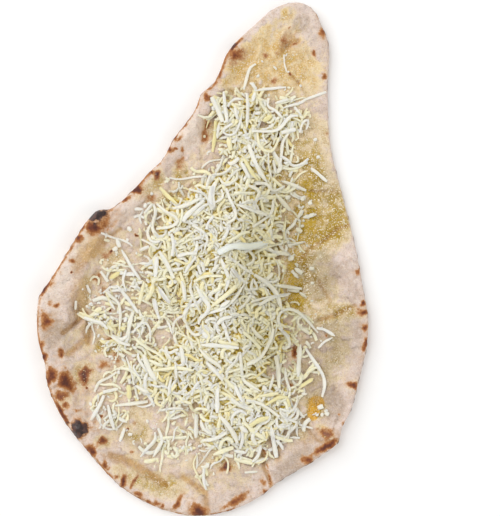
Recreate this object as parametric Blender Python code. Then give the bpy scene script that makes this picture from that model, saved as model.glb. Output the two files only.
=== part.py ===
"""Cheese garlic naan: a teardrop flatbread with a puffed rim and a heap of grated cheese on top.

The bread lies flat on z = 0 with its narrow end towards +Y. The origin is under the middle of its box.
Blender works in metres. The measures below are in millimetres, and MM turns them into metres.
"""

import math
import random

import bmesh
import bpy
import numpy as np
from mathutils import Vector, geometry, noise
from mathutils.bvhtree import BVHTree

MM = 0.001
FLOOR_THICKNESS = 4.4
UNDULATION = 0.8
UNDULATION_SIZE = 27.0
EDGE_SHARE = 0.42
EDGE_LIFT_REACH = 16.0
UNDERSIDE_ROUNDING = 2.6

# The rim of the bread, clockwise from the narrow end.
BREAD_OUTLINE = [
    (57.5, 160.5), (65, 159), (70.5, 154), (74, 146.5), (77.5, 138.5), (78, 106), (80.5, 67.5),
    (87.5, 40), (96, 5), (101.5, -25.5), (103, -33.5), (103, -49), (97, -77.5), (92, -95.5),
    (87, -105), (84.5, -114), (74, -122.5), (43, -142.5), (37, -147.5), (9.5, -159),
    (-4.5, -160.5), (-20.5, -158), (-35, -152.5), (-49, -144), (-72, -120), (-91.5, -92.5),
    (-97, -78), (-99, -64), (-102.5, -51.5), (-103.5, -38), (-102, -23.5), (-95, -12.5),
    (-80, 12), (-72, 24.5), (-66.5, 30), (-58, 31.5), (-45.5, 41.5), (-34.5, 53.5), (-25, 63),
    (-20, 72.5), (-4.5, 94.5), (-0.5, 104), (5.5, 109), (16.5, 131), (30.5, 145), (49.5, 159),
]

# How the puffed lip grows and shrinks round the rim: place on it, then the lip's width, height and lift.
LIP_STATIONS = [
    (57, 160, 15, 7.5, 1.5), (78, 106, 11, 6.0, 0.5), (87, 40, 11, 6.0, 0.6), (103, -40, 17, 7.5, 1.8),
    (84, -114, 13, 8.5, 2.2), (43, -142, 18, 7.0, 0.8), (-4, -160, 19, 7.5, 0.6), (-60, -132, 15, 8.0, 1.0),
    (-95, -80, 17, 9.5, 2.0), (-103, -38, 27, 12.5, 2.6), (-88, 0, 24, 11.5, 2.2), (-67, 29, 13, 9.5, 1.6),
    (-35, 53, 10, 7.0, 0.6), (-5, 94, 13, 8.0, 1.2), (16, 131, 10, 7.0, 0.9),
]

# Blisters stand up and hollows go down: centre, radius and height.
BLISTERS = [
    (-67, 26, 7, 2.6), (-97, -38, 9, 1.6), (-85.5, -75.5, 8, 2.2), (-77, -106, 8, 2.0), (19, 130, 9, 1.8),
    (2, 101, 9, 1.8), (-19, 73, 7, 1.6), (-8, 81, 12, 1.8), (59, 131, 13, 2.4), (38, 139, 13, 1.6),
    (88, 0, 16, 1.8), (72, -3, 10, 1.8), (88, -18, 11, 1.4), (91, -44, 13, 2.2), (79, -63, 15, 1.6),
    (76, -108, 11, 2.6), (57, -116, 13, 1.8), (23, -138, 15, 2.2), (1, -150, 13, 1.6), (-45, -121, 15, 2.0),
    (-64, -94, 16, 1.6), (68, 70, 14, 1.4), (67, 97, 13, 1.2), (-80, -49, 9, 2.4),
]
HOLLOWS = [
    (-79, -33, 10, -2.6), (-27, -141, 17, -1.5), (59, -20, 14, -1.4), (73, -91, 10, -1.3),
    (57, 151, 7, -1.4), (55, 137, 8, -1.6), (-72, 2, 11, -1.4),
]

# The heap of cheese: its uneven outline, clockwise from the narrow end, and how it rises inwards.
HEAP_OUTLINE = [
    (32, 106), (53, 101), (61, 90), (50, 64), (56, 49), (61, 32), (60, 14), (50, -3), (51, -19), (61, -31),
    (69, -48), (68, -70), (60, -104), (41, -120), (4, -133), (-24, -121), (-34, -102), (-57, -92),
    (-69, -76), (-76, -54), (-75, -36), (-60, -21), (-39, 16), (-3, 49), (9, 66), (6, 84), (13, 103),
]
HEAP_HEIGHT = 6.8
HEAP_SLOPE_REACH = 30.0
CORE_INSET = 6.0
CORE_EDGE = 0.9
CORE_BUMP = 1.1
CORE_BUMP_SIZE = 11.0

# A shred as a coarse grater cuts it.
SHRED_WIDTH = 2.8
SHRED_THICKNESS = 2.2
SHRED_LENGTHS = (17.0, 42.0)
SHRED_COUNT = 106
SHRED_SPANS = 4
SHRED_SPACING = 12.5
SHRED_STIFFNESS = 0.02
SHRED_SINK = 0.75
LONE_SPACING = 4.0
RIM_SPACING = 9.0
LONE_SINK = 1.2
GAP = 0.35
SEED = 7

# Shreds that lie alone on the bread, and long ones at the heap's edge: the line of each.
LONE_SHREDS = [
    [(33, 122), (29, 118), (27, 111)],
    [(-63, -7), (-61, -12), (-58.5, -15.5)],
    [(68, 57), (73, 53), (78, 48.5)],
    [(-69, -101), (-65, -93), (-62.5, -84)],
    [(-49, -105.5), (-50.5, -110), (-52, -114.5)],
    [(71, -43), (76.5, -45), (83, -48)],
    [(27, -132.5), (31, -132.5), (35, -132)],
]
EDGE_SHREDS = [
    [(8, 86), (7.5, 78), (6.5, 68)],
    [(76.5, 104.5), (64, 101), (53, 95), (45, 92)],
    [(35, 102), (45, 105), (53, 107.5)],
    [(-27, 45), (-18, 44), (-8, 46), (2, 51)],
    [(-51, 6), (-46.5, -4), (-40, -12), (-33, -15)],
    [(-55, -91), (-45, -90), (-34, -88)],
    [(-59, -92), (-58, -99), (-55, -106)],
    [(-30, -104), (-30, -113), (-35, -120), (-40, -124)],
    [(0, -120), (1, -132), (2.5, -144)],
    [(64, -55), (72, -68), (77, -76), (75, -87)],
    [(42, -105), (43, -114), (46.5, -124)],
    [(54, -30), (61, -36), (68, -45)],
    [(-27, 40), (-20, 33), (-14, 30), (-6, 33)],
]

BREAD_RIM_POINTS = 132
BREAD_ROWS = (0.9, 2.6, 5.6, 10.0)
BREAD_STEP = 7.4
UNDERSIDE_ROWS = (1.2, 5.0, 17.0)
CORE_RIM_POINTS = 60
CORE_STEP = 8.0
CURVE_STEPS = 16
MAP_CELL = 1.0


def clear_scene():
    for existing in list(bpy.data.objects):
        bpy.data.objects.remove(existing)


def material(name, colour, roughness):
    made = bpy.data.materials.new(name)
    made.use_nodes = True
    shader = made.node_tree.nodes["Principled BSDF"]
    shader.inputs["Base Color"].default_value = (*colour, 1.0)
    shader.inputs["Roughness"].default_value = roughness
    shader.inputs["Metallic"].default_value = 0.0
    return made


def eased(share):
    """0 to 1 with a soft start and end."""
    share = np.clip(share, 0.0, 1.0)
    return share * share * (3.0 - 2.0 * share)


def cubic_span(start, end, slope_start, slope_end, shares):
    """Points on the cubic from start to end with the given slopes."""
    u = shares[:, None]
    return (
        (2 * u**3 - 3 * u**2 + 1) * start
        + (u**3 - 2 * u**2 + u) * slope_start
        + (3 * u**2 - 2 * u**3) * end
        + (u**3 - u**2) * slope_end
    )


def closed_curve(points, count):
    """Evenly spaced points on a smooth closed curve through the given ones."""
    knots = np.array(points, float)
    after = np.roll(knots, -1, axis=0) - knots
    chord = np.linalg.norm(after, axis=1)[:, None]
    chord_before = np.roll(chord, 1, axis=0)
    slope = after / chord
    tangent = (slope * chord_before + np.roll(slope, 1, axis=0) * chord) / (chord + chord_before)
    shares = np.linspace(0.0, 1.0, CURVE_STEPS, endpoint=False)
    spans = []
    for i in range(len(knots)):
        j = (i + 1) % len(knots)
        spans.append(cubic_span(knots[i], knots[j], tangent[i] * chord[i], tangent[j] * chord[i], shares))
    fine = np.vstack(spans + [knots[:1]])
    travelled = np.concatenate([[0.0], np.cumsum(np.linalg.norm(np.diff(fine, axis=0), axis=1))])
    stops = np.linspace(0.0, travelled[-1], count, endpoint=False)
    return np.column_stack([np.interp(stops, travelled, fine[:, k]) for k in (0, 1)])


def inward_normals(outline):
    along = np.roll(outline, -1, axis=0) - np.roll(outline, 1, axis=0)
    inward = np.column_stack([along[:, 1], -along[:, 0]])
    return inward / np.linalg.norm(inward, axis=1)[:, None]


def nearest_on(outline, points):
    """For each point: its distance to the outline's points, and which of them is nearest."""
    away = np.linalg.norm(points[:, None, :] - outline[None, :, :], axis=2)
    return away.min(axis=1), away.argmin(axis=1)


def smooth_noise(points, size, seed):
    """Gentle noise between about -1 and 1, with bumps of the given size."""
    return np.array([noise.noise(Vector((x / size, y / size, seed))) for x, y in points]) * 1.6


def mounds(points, places):
    """The summed height of round mounds, each with a flat foot."""
    height = np.zeros(len(points))
    for x, y, radius, top in places:
        away = np.hypot(points[:, 0] - x, points[:, 1] - y) / radius
        height += top * np.clip(1.0 - away**2, 0.0, 1.0) ** 2
    return height


class Rim:
    """A fine copy of the bread's outline with the lip's width, height and lift at every point of it."""

    def __init__(self):
        self.outline = closed_curve(BREAD_OUTLINE, 1000)
        stations = np.array(LIP_STATIONS, float)
        _, at = nearest_on(self.outline, stations[:, :2])
        order = np.argsort(at)
        places = at[order].astype(float)
        count = len(self.outline)
        wrapped = np.concatenate([places[-1:] - count, places, places[:1] + count])
        self.values = []
        for column in (2, 3, 4):
            levels = stations[order, column]
            levels = np.concatenate([levels[-1:], levels, levels[:1]])
            self.values.append(np.interp(np.arange(count), wrapped, levels))

    def at(self, points):
        """Distance to the rim, then the lip's width, height and lift there."""
        distance, index = nearest_on(self.outline, points)
        return (distance, *(levels[index] for levels in self.values))


def bread_top(points, rim):
    """Height of the bread's upper surface, in millimetres."""
    distance, width, lip, lift = rim.at(points)
    floor = FLOOR_THICKNESS + UNDULATION * smooth_noise(points, UNDULATION_SIZE, 1.5)
    crown = 0.3 * width
    rise = np.sqrt(1.0 - (1.0 - np.clip(distance / crown, 0.0, 1.0)) ** 2)
    outer = EDGE_SHARE * lip + (1.0 - EDGE_SHARE) * lip * rise
    inner = floor + (lip - floor) * (1.0 - eased((distance - crown) / (width - crown)))
    height = np.where(distance < crown, outer, inner)
    relief = mounds(points, BLISTERS) + mounds(points, HOLLOWS)
    return height + relief * eased(distance / 4.0) + edge_lift(distance, lift)


def edge_lift(distance, lift):
    """How far the rim curls up off the surface that the bread lies on."""
    return lift * np.clip(1.0 - distance / EDGE_LIFT_REACH, 0.0, 1.0) ** 2


def bread_underside(points, rim):
    distance, _, lip, lift = rim.at(points)
    rounding = np.clip(1.0 - distance / UNDERSIDE_ROUNDING, 0.0, 1.0) ** 2
    return EDGE_SHARE * lip * rounding + edge_lift(distance, lift)


def flat_sheet(outline, row_insets, step):
    """Triangles that fill the outline: rows that follow its rim, then an even spread.

    The outline's points come first.
    """
    inward = inward_normals(outline)
    rows = [outline]
    for inset in row_insets:
        row = outline + inward * inset
        rows.append(row[nearest_on(outline, row)[0] > 0.9 * inset])
    if step:
        low, high = outline.min(axis=0), outline.max(axis=0)
        columns = np.arange(low[0], high[0], step)
        levels = np.arange(low[1], high[1], step * math.sqrt(0.75))
        across, along = np.meshgrid(columns, levels)
        across[1::2] += step / 2
        spread = np.column_stack([across.ravel(), along.ravel()])
        rows.append(spread[nearest_on(outline, spread)[0] > row_insets[-1] + 0.75 * step])
    points = np.vstack(rows)
    ring = [(i, (i + 1) % len(outline)) for i in range(len(outline))]
    found = geometry.delaunay_2d_cdt([Vector(p) for p in points], ring, [], 1, 1e-6)
    kept_from = found[3]
    faces = [[kept_from[i][0] for i in face] for face in found[2]]
    return points, faces


def slab(name, outline, top, underside, top_height, underside_height):
    """A closed solid between two sheets that share the outline's points."""
    count = len(outline)
    top_points, top_faces = top
    under_points, under_faces = underside
    mesh = bmesh.new()
    heights = top_height(top_points)
    upper = [mesh.verts.new(Vector((*p, h)) * MM) for p, h in zip(top_points, heights)]
    inner = under_points[count:]
    lower_heights = underside_height(inner) if len(inner) else []
    lower = upper[:count] + [mesh.verts.new(Vector((*p, h)) * MM) for p, h in zip(inner, lower_heights)]
    for face in top_faces:
        mesh.faces.new([upper[i] for i in face])
    for face in under_faces:
        mesh.faces.new([lower[i] for i in reversed(face)])
    loose = [vert for vert in mesh.verts if not vert.link_faces]
    bmesh.ops.delete(mesh, geom=loose, context="VERTS")
    return object_from(mesh, name)


def object_from(mesh, name):
    data = bpy.data.meshes.new(name)
    mesh.to_mesh(data)
    mesh.free()
    made = bpy.data.objects.new(name, data)
    bpy.context.scene.collection.objects.link(made)
    return made


def build_bread(rim):
    outline = closed_curve(BREAD_OUTLINE, BREAD_RIM_POINTS)
    top = flat_sheet(outline, BREAD_ROWS, BREAD_STEP)
    underside = flat_sheet(outline, UNDERSIDE_ROWS, None)
    return slab(
        "naan_bread", outline, top, underside,
        lambda points: bread_top(points, rim), lambda points: bread_underside(points, rim),
    )


class HeightMap:
    """The top of the bread and of the cheese on it, on a square grid, for laying shreds on."""

    def __init__(self, bread):
        self.reach = np.abs(np.array(BREAD_OUTLINE)).max(axis=0) + 2.0
        self.shape = (2 * self.reach / MAP_CELL).astype(int) + 1
        top = self.top_of(bread)
        shifts = [(i, j) for i in (-1, 0, 1) for j in (-1, 0, 1)]
        self.ground = np.max([np.roll(top, shift, axis=(0, 1)) for shift in shifts], axis=0)
        self.pile = np.full(self.shape, -1.0)

    def top_of(self, piece):
        """The height of a piece seen from above at each cell, and -1 beside it."""
        tree = BVHTree.FromObject(piece, bpy.context.evaluated_depsgraph_get())
        top = np.full(self.shape, -1.0)
        for cell in np.ndindex(*self.shape):
            x, y = np.array(cell) * MAP_CELL - self.reach
            hit = tree.ray_cast(Vector((x, y, 100.0)) * MM, Vector((0, 0, -1)))[0]
            if hit:
                top[cell] = hit.z / MM
        return top

    def cells(self, points):
        index = np.rint((np.asarray(points) + self.reach) / MAP_CELL).astype(int)
        return tuple(np.clip(index, 0, self.shape - 1).T)

    def support(self, points):
        """What a shred rests on: the bread with a gap, or the pile, which it sinks into a little."""
        at = self.cells(points)
        return np.maximum(self.ground[at] + GAP, self.pile[at] - SHRED_SINK)

    def raise_to(self, points, heights):
        at = self.cells(points)
        np.maximum.at(self.pile, at, heights)


def build_core(ground):
    """The solid middle of the heap, a little smaller than the heap itself."""
    heap = closed_curve(HEAP_OUTLINE, 400)
    edge = closed_curve(HEAP_OUTLINE, CORE_RIM_POINTS)
    outline = edge + inward_normals(edge) * CORE_INSET
    turns = np.arange(8) * math.pi / 4
    around = [(0.0, 0.0)] + [(r * math.cos(turn), r * math.sin(turn)) for r in (2.5, 5.0) for turn in turns]

    def bread_under(points):
        return np.max([ground.support(points + offset) for offset in around], axis=0)

    def top_height(points):
        depth = nearest_on(heap, points)[0] - CORE_INSET
        mound = np.sin(math.pi / 2 * np.clip(depth / HEAP_SLOPE_REACH, 0.0, 1.0))
        bumps = CORE_BUMP * smooth_noise(points, CORE_BUMP_SIZE, 4.5) * eased(depth / 8.0)
        return bread_under(points) + CORE_EDGE + (HEAP_HEIGHT - CORE_EDGE) * mound + bumps

    upper = flat_sheet(outline, (3.5,), CORE_STEP)
    lower = flat_sheet(outline, (3.0,), CORE_STEP)
    core = slab("cheese_core", outline, upper, lower, top_height, bread_under)
    ground.pile = ground.top_of(core)
    return core


def open_curve(points, count):
    """Evenly spaced points on a smooth line through three or four given ones."""
    knots = np.array(points, float)
    share = np.linspace(0.0, 1.0, len(knots))
    fit = np.polyfit(share, knots, min(3, len(knots) - 1))
    return np.column_stack([np.polyval(fit[:, k], np.linspace(0.0, 1.0, count)) for k in (0, 1)])


def random_line(dice, centre):
    """The line of a dropped shred, drawn again until it misses the lone ones and the bread's rim."""
    taken = np.vstack([open_curve(points, 21) for points in LONE_SHREDS])
    rim = closed_curve(BREAD_OUTLINE, 400)
    while True:
        line = bent_line(dice, centre)
        if nearest_on(taken, line)[0].min() > LONE_SPACING and nearest_on(rim, line)[0].min() > RIM_SPACING:
            return line


def bent_line(dice, centre):
    """A line with its own length, heading and bend."""
    length = dice.uniform(*SHRED_LENGTHS)
    heading = dice.uniform(0.0, math.tau)
    bend = dice.gauss(0.0, 0.9)
    share = np.linspace(-0.5, 0.5, 41)
    angle = heading + bend * share
    line = np.column_stack([np.cos(angle), np.sin(angle)]) * length / 40
    line = np.cumsum(line, axis=0)
    return line - line.mean(axis=0) + centre


def laid_on(line, ground):
    """The path of a shred that rests on what is below and bends no more than cheese does.

    The pile grows by the shred.
    """
    steps = max(8, int(np.linalg.norm(np.diff(line, axis=0), axis=1).sum()))
    share = np.linspace(0.0, 1.0, steps)
    stops = np.linspace(0.0, 1.0, len(line))
    path = np.column_stack([np.interp(share, stops, line[:, k]) for k in (0, 1)])
    side = inward_normals(path)
    side[0], side[-1] = side[1], side[-2]
    strips = [path + side * offset for offset in np.linspace(-0.6, 0.6, 5) * SHRED_WIDTH]
    support = np.max([ground.support(strip) for strip in strips], axis=0)
    knots = np.linspace(0.0, 1.0, SHRED_SPANS + 1)
    length = steps * MAP_CELL
    apart = (knots[:, None] - share[None, :]) * length
    heights = (support[None, :] - SHRED_STIFFNESS * apart**2).max(axis=1)
    heights += max(0.0, (support - np.interp(share, knots, heights)).max())
    top = np.interp(share, knots, heights) + SHRED_THICKNESS
    for strip in strips[1:-1]:
        ground.raise_to(strip, top)
    flat = np.column_stack([np.interp(knots, share, path[:, k]) for k in (0, 1)])
    return np.column_stack([flat, heights + SHRED_THICKNESS / 2])


def build_shred(name, path, dice):
    """A strip of cheese along the path, tapered at its ends."""
    width = SHRED_WIDTH * dice.uniform(0.85, 1.15)
    side = inward_normals(path[:, :2])
    side[0], side[-1] = side[1], side[-2]
    mesh = bmesh.new()
    rings = []
    for i, (centre, across) in enumerate(zip(path, side)):
        tip = 0.6 if i in (0, len(path) - 1) else 1.0
        half = Vector((*across, 0.0)) * (width / 2 * tip)
        up = Vector((0.0, 0.0, SHRED_THICKNESS / 2 * tip))
        middle = Vector(centre)
        corners = (middle - half - up, middle + half - up, middle + half + up, middle - half + up)
        rings.append([mesh.verts.new(corner * MM) for corner in corners])
    for ring, following in zip(rings, rings[1:]):
        for k in range(4):
            mesh.faces.new((ring[k], ring[(k + 1) % 4], following[(k + 1) % 4], following[k]))
    mesh.faces.new(rings[0])
    mesh.faces.new(reversed(rings[-1]))
    bmesh.ops.recalc_face_normals(mesh, faces=mesh.faces)
    bmesh.ops.triangulate(mesh, faces=mesh.faces)
    return object_from(mesh, name)


def heap_places(dice):
    """Where shreds land: spread evenly over the heap by keeping each drop clear of those before it."""
    heap = closed_curve(HEAP_OUTLINE, 400)
    low, high = heap.min(axis=0), heap.max(axis=0)
    polygon = [Vector(p) for p in heap[::8]]
    places = []
    spacing = SHRED_SPACING
    while len(places) < SHRED_COUNT:
        spacing *= 0.9995
        spot = np.array([dice.uniform(low[0], high[0]), dice.uniform(low[1], high[1])])
        if nearest_on(heap, spot[None])[0][0] < 4.0 or not inside(polygon, spot):
            continue
        if all(np.hypot(*(spot - other)) > spacing for other in places):
            places.append(spot)
    return places


def inside(polygon, spot):
    """True where a line from the spot to the right crosses the polygon an odd number of times."""
    crossings = 0
    for a, b in zip(polygon, polygon[1:] + polygon[:1]):
        if (a.y > spot[1]) != (b.y > spot[1]):
            crossings += spot[0] < a.x + (spot[1] - a.y) / (b.y - a.y) * (b.x - a.x)
    return crossings % 2 == 1


def fuse(base, pieces):
    """One union of the pieces onto the base, without its sealed hollows and loose scraps."""
    gathered = bpy.data.collections.new(base.name + "_pieces")
    for piece in pieces:
        bpy.context.scene.collection.objects.unlink(piece)
        gathered.objects.link(piece)
    bpy.context.scene.collection.children.link(gathered)
    union = base.modifiers.new("union", "BOOLEAN")
    union.operation = "UNION"
    union.operand_type = "COLLECTION"
    union.collection = gathered
    union.solver = "MANIFOLD"
    graph = bpy.context.evaluated_depsgraph_get()
    fused = bpy.data.meshes.new_from_object(base.evaluated_get(graph))
    base.modifiers.clear()
    base.data = keep_largest_body(fused)
    for piece in pieces:
        bpy.data.objects.remove(piece)
    bpy.data.collections.remove(gathered)
    return base


def keep_largest_body(data):
    mesh = bmesh.new()
    mesh.from_mesh(data)
    bmesh.ops.triangulate(mesh, faces=mesh.faces)
    waiting = set(mesh.faces)
    bodies = []
    while waiting:
        reached = [waiting.pop()]
        for face in reached:
            for edge in face.edges:
                for other in edge.link_faces:
                    if other in waiting:
                        waiting.remove(other)
                        reached.append(other)
        bodies.append(reached)
    bodies.sort(key=len)
    scraps = [face for body in bodies[:-1] for face in body]
    bmesh.ops.delete(mesh, geom=scraps, context="FACES")
    mesh.to_mesh(data)
    mesh.free()
    print(f"{data.name}: kept one body, dropped {len(bodies) - 1}")
    return data


def build_cheese(ground):
    dice = random.Random(SEED)
    core = build_core(ground)
    lines = [open_curve(points, 41) for points in EDGE_SHREDS]
    lines += [random_line(dice, centre) for centre in heap_places(dice)]
    shreds = [build_shred(f"shred_{i}", laid_on(line, ground), dice) for i, line in enumerate(lines)]
    fused = fuse(core, shreds)
    fused.name = fused.data.name = "grated_cheese"
    return fused


def build_lone_shreds(bread, ground):
    """Shreds that lie alone are pressed into the bread and joined to it."""
    dice = random.Random(SEED + 1)
    shreds = []
    for i, points in enumerate(LONE_SHREDS):
        path = laid_on(open_curve(points, 41), ground)
        path[:, 2] -= GAP + LONE_SINK
        shreds.append(build_shred(f"lone_{i}", path, dice))
    return fuse(bread, shreds)


def centre_on_origin(objects):
    """Puts the middle of the bread's box over the origin, with its flat underside at z = 0."""
    corners = np.array([vertex.co for vertex in objects[0].data.vertices])
    low, high = corners.min(axis=0), corners.max(axis=0)
    shift = Vector((-(low[0] + high[0]) / 2, -(low[1] + high[1]) / 2, -low[2]))
    for piece in objects:
        for vertex in piece.data.vertices:
            vertex.co += shift
        piece.data.update()
    print("shift, mm:", [round(value / MM, 2) for value in shift])
    print("bread, mm:", [round(value / MM, 1) for value in high - low])


def main():
    clear_scene()
    rim = Rim()
    bread = build_bread(rim)
    ground = HeightMap(bread)
    cheese = build_cheese(ground)
    build_lone_shreds(bread, ground)
    bread.name = bread.data.name = "naan_bread"
    centre_on_origin([bread, cheese])
    bread.data.materials.append(material("baked_dough", (0.72, 0.55, 0.38), 0.75))
    cheese.data.materials.append(material("grated_cheese", (0.86, 0.82, 0.62), 0.5))
    bread.data.polygons.foreach_set("use_smooth", [True] * len(bread.data.polygons))
    for piece in (bread, cheese):
        print(piece.name, len(piece.data.polygons), "triangles")


main()
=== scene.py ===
# %% [markdown]
# # A cheese garlic naan
# A naan is a leavened flatbread that is slapped onto the wall of a clay oven, where it stretches into a
# teardrop, puffs up and chars in spots. This one is brushed with garlic butter and heaped with grated
# cheese. The lesson builds it in the order a baker would: the table and light first, then the bread, its
# browning and butter, and last the cheese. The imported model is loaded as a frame, so every piece already
# has its place and size, in metres.

# %% Load the frame
import math
import random

import bpy
import numpy as np
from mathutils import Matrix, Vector, geometry, noise


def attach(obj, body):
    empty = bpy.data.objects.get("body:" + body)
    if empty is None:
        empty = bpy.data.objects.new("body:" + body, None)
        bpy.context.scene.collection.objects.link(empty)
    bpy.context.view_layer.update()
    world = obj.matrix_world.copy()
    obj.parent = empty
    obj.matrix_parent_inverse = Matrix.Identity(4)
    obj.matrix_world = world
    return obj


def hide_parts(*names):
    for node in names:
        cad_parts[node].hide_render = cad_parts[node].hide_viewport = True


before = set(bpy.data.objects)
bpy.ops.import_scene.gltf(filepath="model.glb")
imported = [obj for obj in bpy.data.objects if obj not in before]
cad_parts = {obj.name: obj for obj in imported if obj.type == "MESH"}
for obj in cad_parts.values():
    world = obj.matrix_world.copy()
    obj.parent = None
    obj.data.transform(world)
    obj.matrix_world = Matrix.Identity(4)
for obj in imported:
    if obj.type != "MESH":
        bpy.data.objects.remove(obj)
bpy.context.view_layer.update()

MM = 0.001
print("nodes to dress:", sorted(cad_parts))

# %% [markdown]
# ## Camera, table and light
# The naan is seen from straight above. A long lens keeps the raised rim and the heap from leaning
# outwards. The light is a wide soft window at the upper left with a weak fill from the other side, because
# the shreds throw short soft shadows to the lower right. A small weak bulb on the window's side adds the
# tiny glints of butter. The table is nearly white, so it lifts the shadows under the rim as a real one does.

# %% Camera
VIEW_CENTRE = (29.4, 0.8)
VIEW_HEIGHT = 322.5
CAMERA_DISTANCE = 1000.0
MIDDLE_HEIGHT = 6.0
SENSOR = 36.0

camera_data = bpy.data.cameras.new("camera")
camera_data.sensor_fit = "VERTICAL"
camera_data.sensor_height = SENSOR
camera_data.lens = SENSOR * CAMERA_DISTANCE / VIEW_HEIGHT
camera = bpy.data.objects.new("camera", camera_data)
camera.location = Vector((*VIEW_CENTRE, CAMERA_DISTANCE + MIDDLE_HEIGHT)) * MM
bpy.context.scene.collection.objects.link(camera)
bpy.context.scene.camera = camera
bpy.context.scene.view_settings.view_transform = "Standard"
print(f"lens {camera_data.lens:.1f} mm")


# %% Soft lights
LAMPS = [
    ("window", (-1.4, 1.0, 1.7), 2.6, 34.0), ("fill", (1.8, -1.0, 1.2), 2.0, 12.0),
    ("bulb", (-0.55, 0.5, 1.9), 0.3, 3.0),
]
ROOM_COLOUR = (1.0, 0.993, 0.978, 1.0)
ROOM_LIGHT = 0.66


def soft_light(name, place, size, watts):
    """A square lamp in metres that faces the middle of the bread."""
    data = bpy.data.lights.new(name, "AREA")
    data.shape = "SQUARE"
    data.size = size
    data.energy = watts
    lamp = bpy.data.objects.new(name, data)
    lamp.location = place
    lamp.rotation_euler = Vector(place).to_track_quat("Z", "Y").to_euler()
    bpy.context.scene.collection.objects.link(lamp)


for name, place, size, watts in LAMPS:
    soft_light(name, place, size, watts)
room = bpy.data.worlds.new("room")
room.use_nodes = True
background = room.node_tree.nodes["Background"]
background.inputs["Color"].default_value = ROOM_COLOUR
background.inputs["Strength"].default_value = ROOM_LIGHT
bpy.context.scene.world = room
print(len(LAMPS), "lamps in a pale room")

# %% [markdown]
# ## Materials written as sums
# A finish is easier to read as a sum than as a web of boxes. One small class wraps a node's output, so
# that `1 - mask` or `butter * 0.6` adds the Math nodes by itself, and one method makes every other node.

# %% Wires and finishes
class Wire:
    """A node's output that can be added, multiplied and so on, like a number."""

    def __init__(self, finish, socket):
        self.finish = finish
        self.socket = socket

    def maths(self, operation, first, second):
        return self.finish.node("ShaderNodeMath", {"operation": operation}, {0: first, 1: second})

    def __add__(self, other):
        return self.maths("ADD", self, other)

    def __sub__(self, other):
        return self.maths("SUBTRACT", self, other)

    def __rsub__(self, other):
        return self.maths("SUBTRACT", other, self)

    def __mul__(self, other):
        return self.maths("MULTIPLY", self, other)

    def __truediv__(self, other):
        return self.maths("DIVIDE", self, other)

    __radd__ = __add__
    __rmul__ = __mul__

    def between(self, low, high):
        """0 below low, 1 above high and a soft step from one to the other."""
        settings = {"interpolation_type": "SMOOTHSTEP"}
        return self.finish.node("ShaderNodeMapRange", settings, {0: self, 1: low, 2: high})


class Finish:
    """A material under construction."""

    def __init__(self, name):
        self.material = bpy.data.materials.new(name)
        self.material.use_nodes = True
        self.tree = self.material.node_tree
        self.shader = self.tree.nodes["Principled BSDF"]
        self.place = self.node("ShaderNodeTexCoord", output="Object")

    def node(self, kind, settings=None, sockets=None, output=0):
        """Any node: its settings first, then the values or wires of its sockets."""
        made = self.tree.nodes.new(kind)
        for name, value in (settings or {}).items():
            if name == "stops":
                elements = made.color_ramp.elements
                elements.remove(elements[1])
                elements[0].position, elements[0].color = value[0]
                for place, colour in value[1:]:
                    elements.new(place).color = colour
            else:
                setattr(made, name, value)
        for name, value in (sockets or {}).items():
            self.feed(made.inputs[name], value)
        return Wire(self, made.outputs[output])

    def feed(self, socket, value):
        if isinstance(value, Wire):
            self.tree.links.new(value.socket, socket)
        else:
            socket.default_value = value

    def grain(self, size, detail=2.0):
        """Noise with features of about this size in millimetres."""
        sockets = {"Vector": self.place, "Scale": 1.0 / (size * MM), "Detail": detail}
        return self.node("ShaderNodeTexNoise", None, sockets)

    def painted(self, name):
        """A value that was painted on the mesh's points."""
        return self.node("ShaderNodeAttribute", {"attribute_name": name}, output="Fac")

    def blend(self, mask, first, second):
        """The first colour where the mask is 0 and the second where it is 1."""
        return self.node("ShaderNodeMix", {"data_type": "RGBA"}, {0: mask, 6: first, 7: second}, output=2)

    def multiplied(self, mask, colour, darker_tone):
        """The colour, and where the mask is 1 the colour multiplied by a darker tone: for the crust's grain
        and for painted shade.
        """
        settings = {"data_type": "RGBA", "blend_type": "MULTIPLY"}
        return self.node("ShaderNodeMix", settings, {0: mask, 6: colour, 7: darker_tone}, output=2)

    def ramp(self, level, stops):
        """A colour that runs through the given ones as the level rises from 0 to 1."""
        stops = [(place, tone(code)) for place, code in stops]
        return self.node("ShaderNodeValToRGB", {"stops": stops}, {0: level})

    def bump(self, height, depth, after=None):
        """Tilts the surface as if the height, from 0 to 1, stood this many millimetres deep."""
        sockets = {"Height": height, "Distance": depth * MM, "Strength": 1.0}
        if after:
            sockets["Normal"] = after
        return self.node("ShaderNodeBump", None, sockets)

    def set(self, **values):
        """Sets the shader's sockets, named with underscores."""
        for name, value in values.items():
            self.feed(self.shader.inputs[name.replace("_", " ")], value)


def tone(code):
    """A colour from its web code, as the light it reflects."""
    shares = [int(code[i:i + 2], 16) / 255 for i in (0, 2, 4)]
    return tuple(s / 12.92 if s <= 0.04045 else ((s + 0.055) / 1.055) ** 2.4 for s in shares) + (1.0,)


print(f"a middle grey reflects {100 * tone('808080')[0]:.0f} % of the light")


# %% [markdown]
# ## The table
# The table is one large plane. Its faint mottling keeps it from looking like an empty background.

# %% Table
TABLE_REACH = 3.0
TABLE_DROP = 0.0002


def add_object(name, data):
    """A new object in the scene for a mesh or a curve."""
    made = bpy.data.objects.new(name, data)
    bpy.context.scene.collection.objects.link(made)
    return made


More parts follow.
